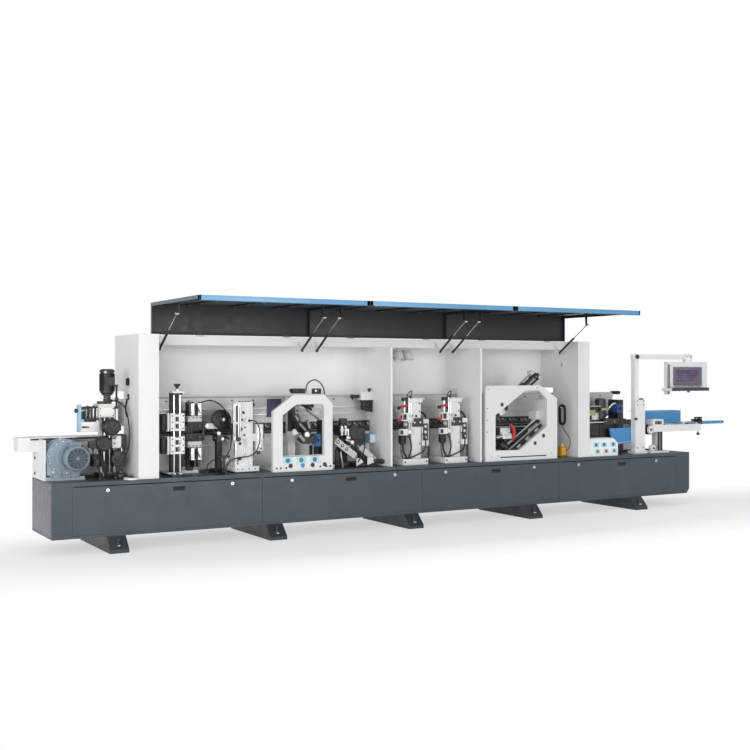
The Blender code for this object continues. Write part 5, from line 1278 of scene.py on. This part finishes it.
def profile_scraper_details():
    kit = Kit("profile_scraper_parts", stands_for=("profile_scraper",))
    kit.box("cast", (2700, 3120, 280, 400, FLOOR_TOP, 637, 4), (2860, 2930, 330, 380, FLOOR_TOP, 1060, 5))
    kit.box("white", (2660, 2700, 160, 240, FLOOR_TOP, 632))
    face = [(2925 + 50 * math.cos(math.pi * step / 14), 935 + 76 * math.sin(math.pi * step / 14))
            for step in range(28)]
    kit.prism("black", face, 172, 215, "XZ", 6)
    kit.box("black", (2900, 3100, 300, 345, 800, 920, 6))
    kit.rod(
        "black", (2935, 190, 795, 3075, 190, 640, 20), (2905, 200, 800, 3045, 200, 645, 14),
        (3120, 160, 655, 3190, 150, 645, 18))
    kit.lathe("black", (3190, 150, 645), (1, -0.14, -0.14), [(0, 12), (6, 22), (36, 23), (42, 18)], 18)
    kit.rod("cast", (2935, 210, 920, 2935, 335, 920, 38))
    kit.box(
        "cast", (2780, 2890, 200, 340, 900, 1000, 8), (2980, 3080, 240, 345, 860, 960, 6),
        (2830, 2890, 180, 340, 740, 780, 4), (3040, 3100, 180, 320, 620, 740, 5),
        (2930, 3150, 158, 280, 604, 625))
    kit.prism("cast", [(2700, 830), (2740, 875), (2940, 720), (2915, 675)], 178, 200)
    kit.prism("cast", [(2965, 765), (3000, 810), (3170, 670), (3135, 625)], 178, 200)
    kit.rod(
        "steel", (2862, 185, 885, 2862, 185, 965, 10), (2825, 175, 865, 2882, 175, 842, 13),
        (2965, 174, 800, 3090, 174, 665, 6), (3140, 155, 653, 3140, 150, 690, 6))
    kit.box("steel", (2845, 2885, 178, 200, 868, 892))
    kit.lathe("aluminium", (2900, 178, 835), "-Y", [(0, 20), (8, 20), (10, 12), (18, 12)], 20)
    kit.tube(
        "aluminium", [(2800, 200, 790), (2785, 195, 750), (2790, 190, 700), (2810, 195, FLOOR_TOP)], 7,
        10)
    kit.prism("white", [(2934, 606), (3011, 640), (2975, 685), (2934, 680)], 145, 158, "XZ", 3)
    kit.prism("white", [(3056, 612), (3145, 640), (3110, 690), (3056, 680)], 145, 158, "XZ", 3)
    kit.tube(
        "rubber", [(2998, 178, 930), (3020, 150, 870), (3015, 135, 780), (2975, 130, 700),
        (2945, 150, 640), (2940, 170, 615)], 6, 10)
    for index in range(10):
        height = 885 + index * 11
        reach = 44 * math.sqrt(max(0.0, 1 - ((height - 935) / 74) ** 2))
        kit.box("cast", (2925 - reach, 2925 + reach, 169.5, 175, height - 2, height + 2, 0.8))
    for x in (2795, 2835):
        kit.lathe(
            "white" if x < 2800 else "aluminium", (x, 200, 955), "-Y",
            [(0, 16), (12, 18), (20, 18), (24, 14)], 22)
        kit.rod("aluminium", (x, 190, 905, x, 190, 995, 12))
    bar_plate(kit, "beam", (2715, 860), (2932, 700), 66, 160, 178, (0.10, 0.32, 0.54))
    bar_plate(kit, "beam", (2985, 790), (3150, 650), 58, 160, 178, (0.82,))
    for offset, finish in ((0, "rubber"), (22, "cast"), (46, "rubber")):
        x = 2725 + offset
        kit.tube(
            finish, [(x + 45, 210, 800), (x + 10, 195, 770), (x, 190, 715), (x + 4, 195, 660),
            (x + 12, 200, FLOOR_TOP)], 8.5, 10)
    kit.done()
    side = Kit("service_boxes")
    rear = 410
    side.box("white", (3100, 3242.8, 360, 430, 1235, 1315, 5))
    side.rod("cast", (3205, 380, 1312, 3205, 380, 1328, 9), (3012, 400, 1272, 3030, 400, 1272, 20))
    side.box("cast", (3123, 3242.8, 365, 430, 1222, 1236))
    side.lathe("black", (3205, 380, 1326), "Z", [(0, 14), (4, 18), (22, 19), (26, 14)], 18)
    side.rod("black", (3024, 400, 1272, 3102, 400, 1272, 16))
    for index in range(4):
        x = 3135 + index * 27
        side.box("cast", (x, x + 22, 370, 430, 1135 - 6 * index, 1222))
        side.rod(
            "black", (x + 11, 369, 1205, x + 11, 360, 1205, 6, 12),
            (x + 11, 369, 1165, x + 11, 360, 1165, 6, 12))
    side.box("sky", (3168, 3242.8, 300, rear, 812, 902, 4))
    side.box("white", (3172, 3232, 297, 301, 818, 896, 2))
    side.done()


# ---------------------------------------------------------------- fine trimming columns
def trim_details(name, left, right, top, low, high):
    y = 140
    kit = Kit(f"{name}_parts", stands_for=(name,))
    kit.box(
        "white", (low, high, 80, 400, FLOOR_TOP, 657, 5), (left, right, y, y + 40, 617, top, 4),
        (left - 55, right, y - 35, y + 10, top - 34, top, 4),
        (left - 25, right + 35, y - 30, y + 90, top, top + 8, 2),
        (left - 130, left - 55, y - 50, y + 20, 1030, 1112, 6),
        (left - 150, left - 58, y - 36, y + 2, 890, 953, 5),
        (right + 18, right + 102, y + 10, y + 80, 775, 1045, 10))
    kit.box("panel", (left + 20, right - 20, y + 30, 360, 617, top - 100, 4))
    kit.lathe("black", ((left + right) / 2, y + 0.5, 1075), "-Y", [(0, 13), (2, 13), (3, 9)], 18)
    kit.lathe("black", (left - 22, y - 12, top), "Z", [(0, 11), (6, 11), (9, 16), (26, 17), (30, 13)], 18)
    kit.box(
        "black", (left - 126, left - 90, y - 54, y - 48, 1045, 1098),
        (left - 148, left - 118, y - 40, y - 34, 900, 940))
    kit.rod("black", (left - 165, y - 18, 1158, left - 140, y - 18, 1164, 16))
    kit.rod(
        "chrome", (left - 35, y - 10, 900, left - 35, y - 10, top + 12, 10),
        (left - 10, y - 10, 900, left - 10, y - 10, top + 4, 8))
    kit.box(
        "aluminium", (left - 55, left + 4, y - 35, y + 10, 902, 938),
        (left - 60, left + 5, y - 32, y + 12, 1015, 1095))
    kit.rod("aluminium", (left - 92, y - 15, 1100, left - 92, y - 15, 1235, 13))
    kit.rod(
        "red", (left - 135, y - 24, 1072, left - 95, y - 30, 1072, 19),
        (left - 170, y - 12, 1042, left - 100, y - 20, 1042, 14))
    kit.prism(
        "red", [(left - 150, 1150), (left - 62, 1172), (left - 58, 1200), (left - 146, 1178)], y - 30,
        y - 6)
    kit.box(
        "cast", (left - 112, left - 72, y - 30, y + 8, 1225, 1262, 4),
        (left - 75, left - 50, y - 22, y + 6, 1110, 1260),
        (right + 30, right + 90, y + 6, y + 12, 830, 1000),
        (right - 10, right + 30, y + 20, y + 60, 860, 920),
        (left - 5, right + 15, y - 22, y, 970, 1055, 4))
    kit.lathe(
        "cast", (left - 100, y + 10, 797), "Z", [(0, 22), (4, 30), (10, 32), (188, 32), (196, 28),
        (212, 20)], 28)
    kit.rod("cast", (left - 102, y - 28, 965, left - 102, y - 28, 1032, 22))
    kit.lathe("steel", (left - 102, y - 50, 1000), "-Y", [(0, 20), (3, 22), (6, 20), (6, 9), (14, 9)], 24)
    kit.bolt("steel", "-Y", 10, 5, (left + 22, y - 22, 1012), (right - 20, y - 22, 1012))
    kit.tube(
        "rubber", [(right + 15, y + 30, 1110), (right + 60, y + 30, 1090), (right + 105, y + 30, 970),
        (right + 110, y + 30, 800), (right + 112, y + 30, FLOOR_TOP)], 10, 12, 3)
    kit.tube(
        "rubber", [(left - 88, y - 20, 905), (left - 45, y - 40, 860), (left - 30, y - 45, 760),
        (left - 55, y - 35, 670), (left - 60, y - 20, 657)], 7.5, 12, 3)
    kit.tube(
        "rubber", [(right + 20, y - 2, 900), (right + 30, y - 40, 840), (right + 5, y - 55, 740),
        (left + 10, y - 50, 685), (left - 60, y - 45, 667), (left - 100, y - 20, 665)], 7, 12, 3)
    kit.tube(
        "rubber", [(left - 98, y, 800), (left - 105, y - 20, 730), (left - 75, y - 45, 665),
        (left - 30, y - 20, 645), (left - 10, y + 20, 625)], 9, 10)
    kit.tube(
        "rubber", [(left - 70, y - 24, 1262), (left - 60, y - 40, 1305), (left - 20, y - 30, 1325),
        (left + 30, y + 50, 1290), (left + 35, y + 110, 1200)], 5, 10)
    kit.tube(
        "rubber", [(left - 125, y - 35, 892), (left - 150, y - 50, 830), (left - 145, y - 40, 730),
        (left - 100, y, 660), (left - 60, y + 40, 620)], 5, 10)
    for x in (low + 20, high - 20):
        kit.bolt("black", "-Y", 9, 4, (x, 80.5, 628))
    for z in (700, 800, 1120, 1200):
        kit.bolt("black", "-Y", 7, 4, (right - 16, y, z))
    for x, z in ((left - 45, 1030), (left - 12, 1030), (left - 45, 1080), (left - 12, 1080)):
        kit.bolt("black", "-Y", 6, 3, (x, y - 32, z))
    upright_fins(kit, "cast", left - 100, y + 10, 812, 975, 30, 35, 18, 2.6)
    for index in range(10):
        angle = 2 * math.pi * index / 10
        kit.bolt(
            "black", "-Y", 3, 2,
            (left - 102 + 14 * math.cos(angle), y - 55.5, 1000 + 14 * math.sin(angle)))
    for z in (860, 915, 970):
        kit.lathe("steel", (right + 60, y + 6.5, z), "-Y", [(0, 15), (4, 15), (5, 8)], 18)
    kit.done()


rounding_details()
profile_scraper_details()
trim_details("fine_trim_1", 3550, 3660, 1246, 3420, 3710)
trim_details("fine_trim_2", 4020, 4130, 1246, 3910, 4180)


# ---------------------------------------------------------------- end trimming frame and saws
def arc_points(centre, radius, first, last, count):
    """Points on an arc in the X and Z plane, its angles in degrees."""
    return [(centre[0] + radius * math.cos(math.radians(first + (last - first) * step / count)),
             centre[1] + radius * math.sin(math.radians(first + (last - first) * step / count)))
            for step in range(count + 1)]


def end_trim_details():
    """Fittings of the trimming frame and rails; gives each saw's name and place at rest."""
    near = FRAME_FACE
    kit = Kit("end_trim_trim")
    kit.box("black", (4557, 5155, near - 0.8, near + 2, 629, 641, 0.5))
    for x, z in ((4443, 645), (4531, 652), (5215, 652), (4400, 1335), (5030, 1345)):
        kit.bolt("steel", "-Y", 8, 5, (x, near, z))
    for x, z in ((4576, 1177), (5004, 767), (5115, 842)):
        kit.lathe("grey", (x, near + 1, z), "-Y", [(0, 22), (2, 22), (3, 20)], 24)
        kit.lathe("black", (x + 3, near - 1, z + 3), "-Y", [(0, 15), (2.5, 15)], 20)
    edge = [(4492, 704), (4803, 701), (5166, 940), (5166, 1227), (5060, 1322), (4880, 1322),
            (4492, 1072)]
    for start, end in zip(edge, edge[1:] + edge[:1]):
        kit.rod("white", (start[0], near + 2, start[1], end[0], near + 2, end[1], 3.5, 8, 0))
    for z in (900, 1020, 1140):
        kit.bolt("black", "-Y", 6, 4, (4392, near, z))
    kit.done()

    for name, body, start, end, at, lift in (
            ("upper", BODY, (4460, 970), (5100, 1480), 0.26, -20),
            ("lower", BODY, (4680, 655), (5200, 1005), 0.27, 116)):
        rails = Kit(f"end_trim_rail_{name}_parts", body)
        low, high = Vector((start[0], 200, start[1])), Vector((end[0], 200, end[1]))
        along = (high - low).normalized()
        across = Vector((-along.z, 0, along.x))
        for side in (-30, 30):
            first = low + along * 20 + across * side
            last = high - along * 20 + across * side
            rails.bar("grey", first + Vector((0, -11.5, 0)), last + Vector((0, -11.5, 0)), 3.5, sides=12)
        for share in (0.06, 0.94):
            spot = low + (high - low) * share
            rails.lathe(
                "black", spot + Vector((0, -10, 0)), "-Y", [(0, 20), (6, 20), (8, 16), (10, 8)], 24)
        rails.done()

        at_rest = low + (high - low) * at + across * lift
        yield name, at_rest.x, at_rest.z


def upper_saw(x, z):
    """The upper saw: its motor lies along the slant, ring forward, with the clamp block on top."""
    saw = Kit("end_trim_saw_upper_parts", "end_trim_saw_upper", stands_for=("end_trim_saw_upper",))
    saw.box("cast", (x - 70, x + 70, 166, 186, z - 45, z + 45, 6, ("Y", -38.5)))
    saw.rod("black", (4515, 145, 1055, 4690, 145, 1150, 40, 28))
    saw.lathe(
        "black", (4690, 145, 1150), (0.88, 0, 0.48), [(-50, 42), (-46, 45), (12, 45), (20, 40), (22, 20)],
        32)
    saw.box("black", (4500, 4560, 100, 150, 1035, 1085, 6, ("Y", -28.0)))
    saw.box("aluminium", (4585, 4665, 99, 125, 1070, 1150, 8, ("Y", -28.0)))
    for bolt_x, bolt_z in ((4600, 1085), (4650, 1112), (4588, 1115), (4636, 1140)):
        saw.bolt("steel", "-Y", 5, 2, (bolt_x, 99, bolt_z))
    saw.done()


def lower_saw(x, z):
    """The lower saw: two machined blocks, a spindle nose and the red blade guard."""
    saw = Kit("end_trim_saw_lower_parts", "end_trim_saw_lower", stands_for=("end_trim_saw_lower",))
    saw.box(
        "cast", (x - 70, x + 70, 166, 186, z - 45, z + 45, 6, ("Y", -34.0)),
        (x - 60, x + 10, 138, 168, z - 30, z + 30, 6))
    guard = arc_points((4700, 880), 108, -52, 64, 16) + arc_points((4690, 880), 82, 64, -52, 16)
    saw.prism("red", guard, 101.5, 117.5)
    saw.box("aluminium", (4612, 4735, 103, 140, 868, 935, 6), (4640, 4755, 101.5, 138, 818, 872, 6))
    saw.rod("steel", (4565, 124, 835, 4645, 124, 850, 22), (4675, 102.5, 845, 4675, 100, 845, 16))
    for bolt_x, bolt_z in ((4628, 884), (4718, 884), (4628, 920), (4718, 920)):
        saw.bolt("black", "-Y", 6, 2, (bolt_x, 103, bolt_z))
    saw.done()


def end_trim_slides():
    """The dust box, tool rest and guide bars seen through and above the trimming frame's window."""
    kit = Kit("end_trim_slides")
    kit.lathe(
        "black", (4640, 130, 755), (0.55, -0.2, -0.35),
        [(-30, 20), (-20, 40), (60, 44), (70, 40), (75, 15)], 28)
    kit.box("black", (4700, 5180, 85, 98, 800, 832, 3, ("Y", -35.0)))
    kit.rod("black", (4800, 120, 800, 5100, 120, 1000, 12))
    kit.box("cast", (4500, 5120, 300, 340, FLOOR_TOP, 925, 6))
    kit.ribs("grey", (4530, 5090), (296, 301), (640, 900), 9, "Z", 4)
    for share in (0.22, 0.50, 0.80):
        x, z = 4745 + 400 * share, 676 + 280 * share
        kit.box("aluminium", (x - 26, x + 26, 78, 86, z - 14, z + 14, 3, ("Y", -35.0)))
        kit.bolt("black", "-Y", 5, 3, (x - 12, 78, z - 8), (x + 12, 78, z + 8))
    kit.done()
    bars = Kit("end_trim_top_bars")
    for start, end, radius, finish in (
            ((4850, 84, 1352), (5055, 84, 1500), 11.5, "black"),
            ((4840, 84, 1330), (5060, 84, 1488), 11.5, "black"),
            ((4905, 84, 1345), (5075, 84, 1462), 6, "chrome"),
            ((4935, 84, 1340), (5090, 84, 1445), 11.5, "black")):
        bars.bar(finish, start, end, radius)
    bars.box("black", (5035, 5100, 74, 96, 1452, 1492, 6, ("Y", -36.0)))
    bars.box("cast", (4800, 4900, 74, 96, 1332, 1380, 6, ("Y", -36.0)))
    for x, z in ((5052, 1466), (5082, 1478)):
        bars.bolt("steel", "-Y", 5, 3, (x, 74, z))
    bars.done()


# ---------------------------------------------------------------- infeed end
def gauge_box_details():
    kit = Kit("gauge_box_counters")
    for x in (5837, 5950, 6079):
        gauge(kit, x, 31, 722, 40, 27)
    for x, glass in ((5858, "grey"), (5979, "red"), (6094, "grey")):
        gauge(kit, x, 31, 650, 36, 24, glass)
    for x in (5770, 6120):
        for z in (615, 745):
            kit.bolt("steel", "-Y", 5, 3, (x, 30, z))
    kit.done()


def glue_details():
    kit = Kit("glue_unit_parts")
    kit.box("cast", (5830, 6370, 262, 272, 660, 940, 4))
    kit.lathe("cast", (6160, 330, 1195), "Z", [(0, 62), (10, 62), (14, 55), (22, 30)], 32)
    kit.box(
        "brass", (5870, 6000, 226, 240, 1030, 1092, 4), (5950, 6100, 250, 330, 1125, 1140),
        (6100, 6215, 240, 330, 1085, 1112, 6))
    kit.lathe("grey", (6030, 300, 1120), "Z", [(0, 12), (12, 12), (16, 26), (34, 28), (40, 22)], 26)
    kit.box("black", (5810, 5940, 232, 242, 970, 1090, 6), (6345, 6480, 212, 224, 925, 968, 4))
    kit.rod("black", (6342, 205, 1100, 6342, 190, 1100, 20))
    kit.box("aluminium", (5955, 6050, 232, 242, 985, 1060, 4))
    kit.rod("chrome", (5900, 228, 955, 6120, 228, 955, 10))
    kit.tube(
        "white_cord", [(6225, 270, 1100), (6300, 262, 1160), (6390, 300, 1130), (6440, 330, 1030),
        (6430, 340, 990)], 8.5, 12)
    kit.tube(
        "rubber", [(5840, 300, 1120), (5820, 270, 1165), (5780, 260, 1100), (5775, 270, 950),
        (5790, 300, 800), (5810, 340, 637)], 8, 12)
    kit.box("deep_blue", (6300, 6385, 205, 300, 1056, 1150, 6))
    for x in (5860, 6100, 6340):
        kit.box("black", (x - 12, x + 12, 255, 266, 650, 950))
    for z in (700, 780, 860):
        kit.box("black", (5845, 6355, 258, 264, z, z + 18))
    for index in range(8):
        angle = 2 * math.pi * index / 8
        kit.bolt("steel", "Z", 5, 4, (6160 + 48 * math.cos(angle), 330 + 48 * math.sin(angle), 1206))
    for x, z in ((5970, 1000), (6035, 1000), (5970, 1045), (6035, 1045)):
        kit.bolt("black", "-Y", 6, 4, (x, 232, z))
    for x in (6150, 6270, 6400):
        kit.bolt("steel", "-Y", 7, 4, (x, 220, 960))
    kit.done()
    guard = Kit("glue_guard_trim")
    for x, z in ((6245, 725), (6575, 742), (6215, 862), (6585, 862)):
        guard.bolt("steel", "-Y", 6, 4, (x, 195, z))
    guard.prism("white", [(6236, 716), (6592, 735), (6592, 739), (6236, 720)], 192.5, 196, "XZ", 1)
    guard.done()


def pendant_details():
    kit = Kit("pendant_post_parts")
    for x, z in ((x, z) for z in (1187, 1142, 660) for x in (6521, 6611)):
        kit.bolt("black", "-Y", 7, 5, (x, 118, z))
    kit.rod("black", (6497, 129, 986, 6497, 105, 986, 14))
    kit.box("black", (6575, 6625, 131, 175, 963, 1216, 5), (6655, 6700, 190, 235, 900, 965, 4))
    for x in (6485, 6640):
        kit.bolt("steel", "Z", 7, 4, (x, 105, 620))
    kit.done()
    arm = Kit("pendant_arm_parts", "pendant_arm")
    arm.knob((6520, 132, 1685), "-Y", 24, 22)
    arm.box("panel", (7385, 7392.5, 134, 186, 1659, 1711, 2))
    for x in (7300, 7360):
        arm.bolt("black", "Z", 8, 6, (x, 160, 1713))
        arm.bolt("black", "-Y", 7, 5, (x, 132, 1690))
    arm.done()
    box = Kit("pendant_box_parts", "pendant_box")
    front = 90
    box.box("deep_grey", (7037, 7491, front - 6, front + 4, 1355, 1570, 8))
    box.box("screen", (7084, 7434, front - 8, front - 4, 1402, 1535, 4))
    box.box(
        "grey", (7064, 7454, front - 7.5, front - 3, 1388, 1390.5, 0.5),
        (6954.5, 6990.5, 89, 94, 1262, 1600, 2))
    box.ribs("grey", (7100, 7470), (186, 192.5), (1420, 1560), 12, "X", 10)
    box.box("shelf", (6932, 7518, -1, 6, 1296, 1334), (6932, 7518, 2, 88, 1330, 1333, 1))
    box.lathe("black", (7330, 140, 1300), "-Z", [(-4, 16), (4, 18), (16, 16), (26, 10)], 20)
    for index in range(12):
        x = 7075 + index * 34.5
        box.box("grey", (x - 10, x + 10, front - 5, front + 1, 1336, 1350))
    for x in (6999, 7576):
        for z in (1345, 1465, 1585):
            box.bolt("steel", "-Y", 6, 3, (x, front, z))
    box.ribs("grey", (7585, 7591), (105, 175), (1360, 1580), 12, "Z", 6)
    box.done()


def infeed_details():
    kit = Kit("infeed_fence_trim")
    kit.box("sky_light", (6702, 8058, 281, 314, 928.5, 930.8, 0.6))
    for x in (6800, 7180, 7500, 7850):
        kit.bolt("steel", "-Y", 6, 4, (x, 280, 912.5))
    for x in (8000, 7300):
        kit.box("white", (x, x + 2, 279.5, 281, 897, 928, 0.4))
    clamp_low, clamp_high = 7567, 7682
    kit.box(
        "cast", (clamp_low, clamp_high, 262, 280, 892, 982, 4),
        (clamp_low, clamp_high, 262, 330, 931, 955, 4))
    kit.rod("steel", (7624, 272, 892, 7624, 272, 795, 9))
    kit.lathe("black", (7624, 272, 798), "-Z", [(0, 10), (6, 18), (24, 20), (30, 15)], 22)
    for x in (clamp_low + 22, clamp_high - 22):
        kit.bolt("steel", "-Y", 8, 5, (x, 262, 962))
    kit.done()
    guard = Kit("infeed_guard_trim")
    for x in (6760, 7050, 7330):
        guard.bolt("steel", "-Y", 6, 3, (x, 310, 1040))
    guard.box("sky", (6692, 7378, 308.5, 313.5, 1057, 1061.5, 1))
    guard.done()


def tape_feeder_details():
    kit = Kit("tape_feeder_parts")
    for x in (6862, 6905):
        kit.box("black", (x, x + 30, 152, 160, 610, 835, 4))
    for z in (660, 740, 810):
        kit.bolt("steel", "-Y", 6, 4, (6898, 158, z))
    kit.lathe(
        "rubber", (6720, 109, 860), "-Y", [(-80, 53), (-78, 56.5), (-12, 56.5), (-2, 53), (1, 44),
        (-4, 40), (-4, 18), (2, 16), (2, 6)], 40)
    kit.bolt("steel", "-Y", 9, 5, (6720, 107, 860))
    kit.lathe("white", (6743, 99.5, 652), "-Y", [(0, 35), (4, 35), (6, 32), (6, 12)], 32)
    kit.box(
        "white", (6758, 6865, 92, 105, 902, 968), (6737, 7468, 78.5, 86, 898, 912),
        (6737, 7468, 252, 259.5, 898, 912))
    kit.lathe("black", (6743, 94, 652), "-Y", [(0, 13), (4, 13), (5, 10)], 20)
    kit.box("black", (6762, 6861, 89, 92.5, 921, 956))
    kit.lathe("black", (7400, 255, 900), "-Y", [(0, 10), (8, 16), (20, 16), (24, 12)], 20)
    kit.box("grey", (6910, 7460, 160, 180, 904, 909, 1))
    for x in (6785, 6838):
        kit.rod("steel", (x, 89.5, 938.5, x, 84, 938.5, 7, 16))
    for x in (6980, 7200, 7420):
        kit.rod("chrome", (x, 88, 917, x, 250, 917, 11))
    kit.done()


def supply_box_details():
    kit = Kit("supply_box_trim")
    kit.box("cast", (5492, 5563, 198.5, 201.5, 605, 702, 1))
    kit.box("yellow", (5496, 5559, 195.5, 199.5, 610, 697, 2))
    kit.lathe("white", (5530, 225, 710), "Z", [(0, 14), (10, 14), (14, 10), (26, 7)], 20)
    for x in (5503, 5552):
        for z in (618, 688):
            kit.bolt("steel", "-Y", 4, 2, (x, 195.5, z))
    kit.done()


saws = {"upper": upper_saw, "lower": lower_saw}
for saw_name, saw_x, saw_z in end_trim_details():
    saws[saw_name](saw_x, saw_z)
end_trim_slides()
gauge_box_details()
glue_details()
pendant_details()
infeed_details()
tape_feeder_details()
supply_box_details()


# ---------------------------------------------------------------- floor, backdrop and light
def studio():
    plane = bmesh.new()
    bmesh.ops.create_grid(plane, x_segments=1, y_segments=1, size=60.0)
    data = bpy.data.meshes.new("floor")
    plane.to_mesh(data)
    plane.free()
    floor = bpy.data.objects.new("floor", data)
    floor.location = (0.0, 0.0, -0.0005)
    scene.collection.objects.link(floor)
    made = Nodes("floor_paper")
    made.set(Base_Color=(0.86, 0.86, 0.86, 1.0), Roughness=0.9)
    made.link(made.ramp(made.noise(0.6, 4.0), [(0.0, (0.87, 0.87, 0.87)), (1.0, (0.89, 0.89, 0.89))]),
              made.shader.inputs["Base Color"])
    reach = made.new("ShaderNodeVectorMath", operation="MULTIPLY")
    reach.inputs[1].default_value = (1 / 4.3, 1 / 1.05, 1.0)
    made.link(made.place, reach.inputs[0])
    distance = made.new("ShaderNodeVectorMath", operation="LENGTH")
    made.link(reach.outputs["Vector"], distance.inputs[0])
    fade = made.span(distance.outputs["Value"], 0.55, 1.0, 0.95, 1.7)
    path = made.new("ShaderNodeLightPath")
    seen = made.new("ShaderNodeMath", operation="MAXIMUM")
    made.link(path.outputs["Is Camera Ray"], seen.inputs[0])
    made.link(path.outputs["Is Glossy Ray"], seen.inputs[1])
    factor = made.new("ShaderNodeMath", operation="MULTIPLY")
    made.link(fade, factor.inputs[0])
    made.link(seen.outputs[0], factor.inputs[1])
    white = made.new("ShaderNodeEmission")
    white.inputs["Color"].default_value = (1.0, 1.0, 1.0, 1.0)
    mix = made.new("ShaderNodeMixShader")
    made.link(factor.outputs[0], mix.inputs["Fac"])
    made.link(made.shader.outputs["BSDF"], mix.inputs[1])
    made.link(white.outputs["Emission"], mix.inputs[2])
    made.link(mix.outputs["Shader"], made.tree.nodes["Material Output"].inputs["Surface"])
    data.materials.append(made.material)

    world = bpy.data.worlds.new("studio")
    world.use_nodes = True
    tree = world.node_tree
    soft = tree.nodes["Background"]
    soft.inputs["Color"].default_value = (0.94, 0.97, 1.0, 1.0)
    soft.inputs["Strength"].default_value = 0.48
    bright = tree.nodes.new("ShaderNodeBackground")
    bright.inputs["Color"].default_value = (1.0, 1.0, 1.0, 1.0)
    bright.inputs["Strength"].default_value = 1.0
    path = tree.nodes.new("ShaderNodeLightPath")
    mix = tree.nodes.new("ShaderNodeMixShader")
    tree.links.new(path.outputs["Is Camera Ray"], mix.inputs["Fac"])
    tree.links.new(soft.outputs["Background"], mix.inputs[1])
    tree.links.new(bright.outputs["Background"], mix.inputs[2])
    tree.links.new(mix.outputs["Shader"], tree.nodes["World Output"].inputs["Surface"])
    scene.world = world

    for name, spot, target, size, power in (
            ("key_light", (-9.0, -10.0, 2.6), (-0.5, 0.0, 1.1), 5.0, 440.0),
            ("side_light", (-13.0, -5.0, 2.4), (0.5, 0.0, 1.1), 4.0, 370.0),
            ("front_light", (1.5, -12.0, 2.2), (0.5, 0.0, 1.1), 5.0, 370.0),
            ("top_light", (0.0, -1.0, 8.0), (0.0, 0.0, 0.0), 6.0, 170.0)):
        lamp = bpy.data.lights.new(name, "AREA")
        lamp.size = size
        lamp.energy = power
        light = bpy.data.objects.new(name, lamp)
        light.location = spot
        light.rotation_euler = (Vector(target) - Vector(spot)).to_track_quat("-Z", "Y").to_euler()
        scene.collection.objects.link(light)


studio()
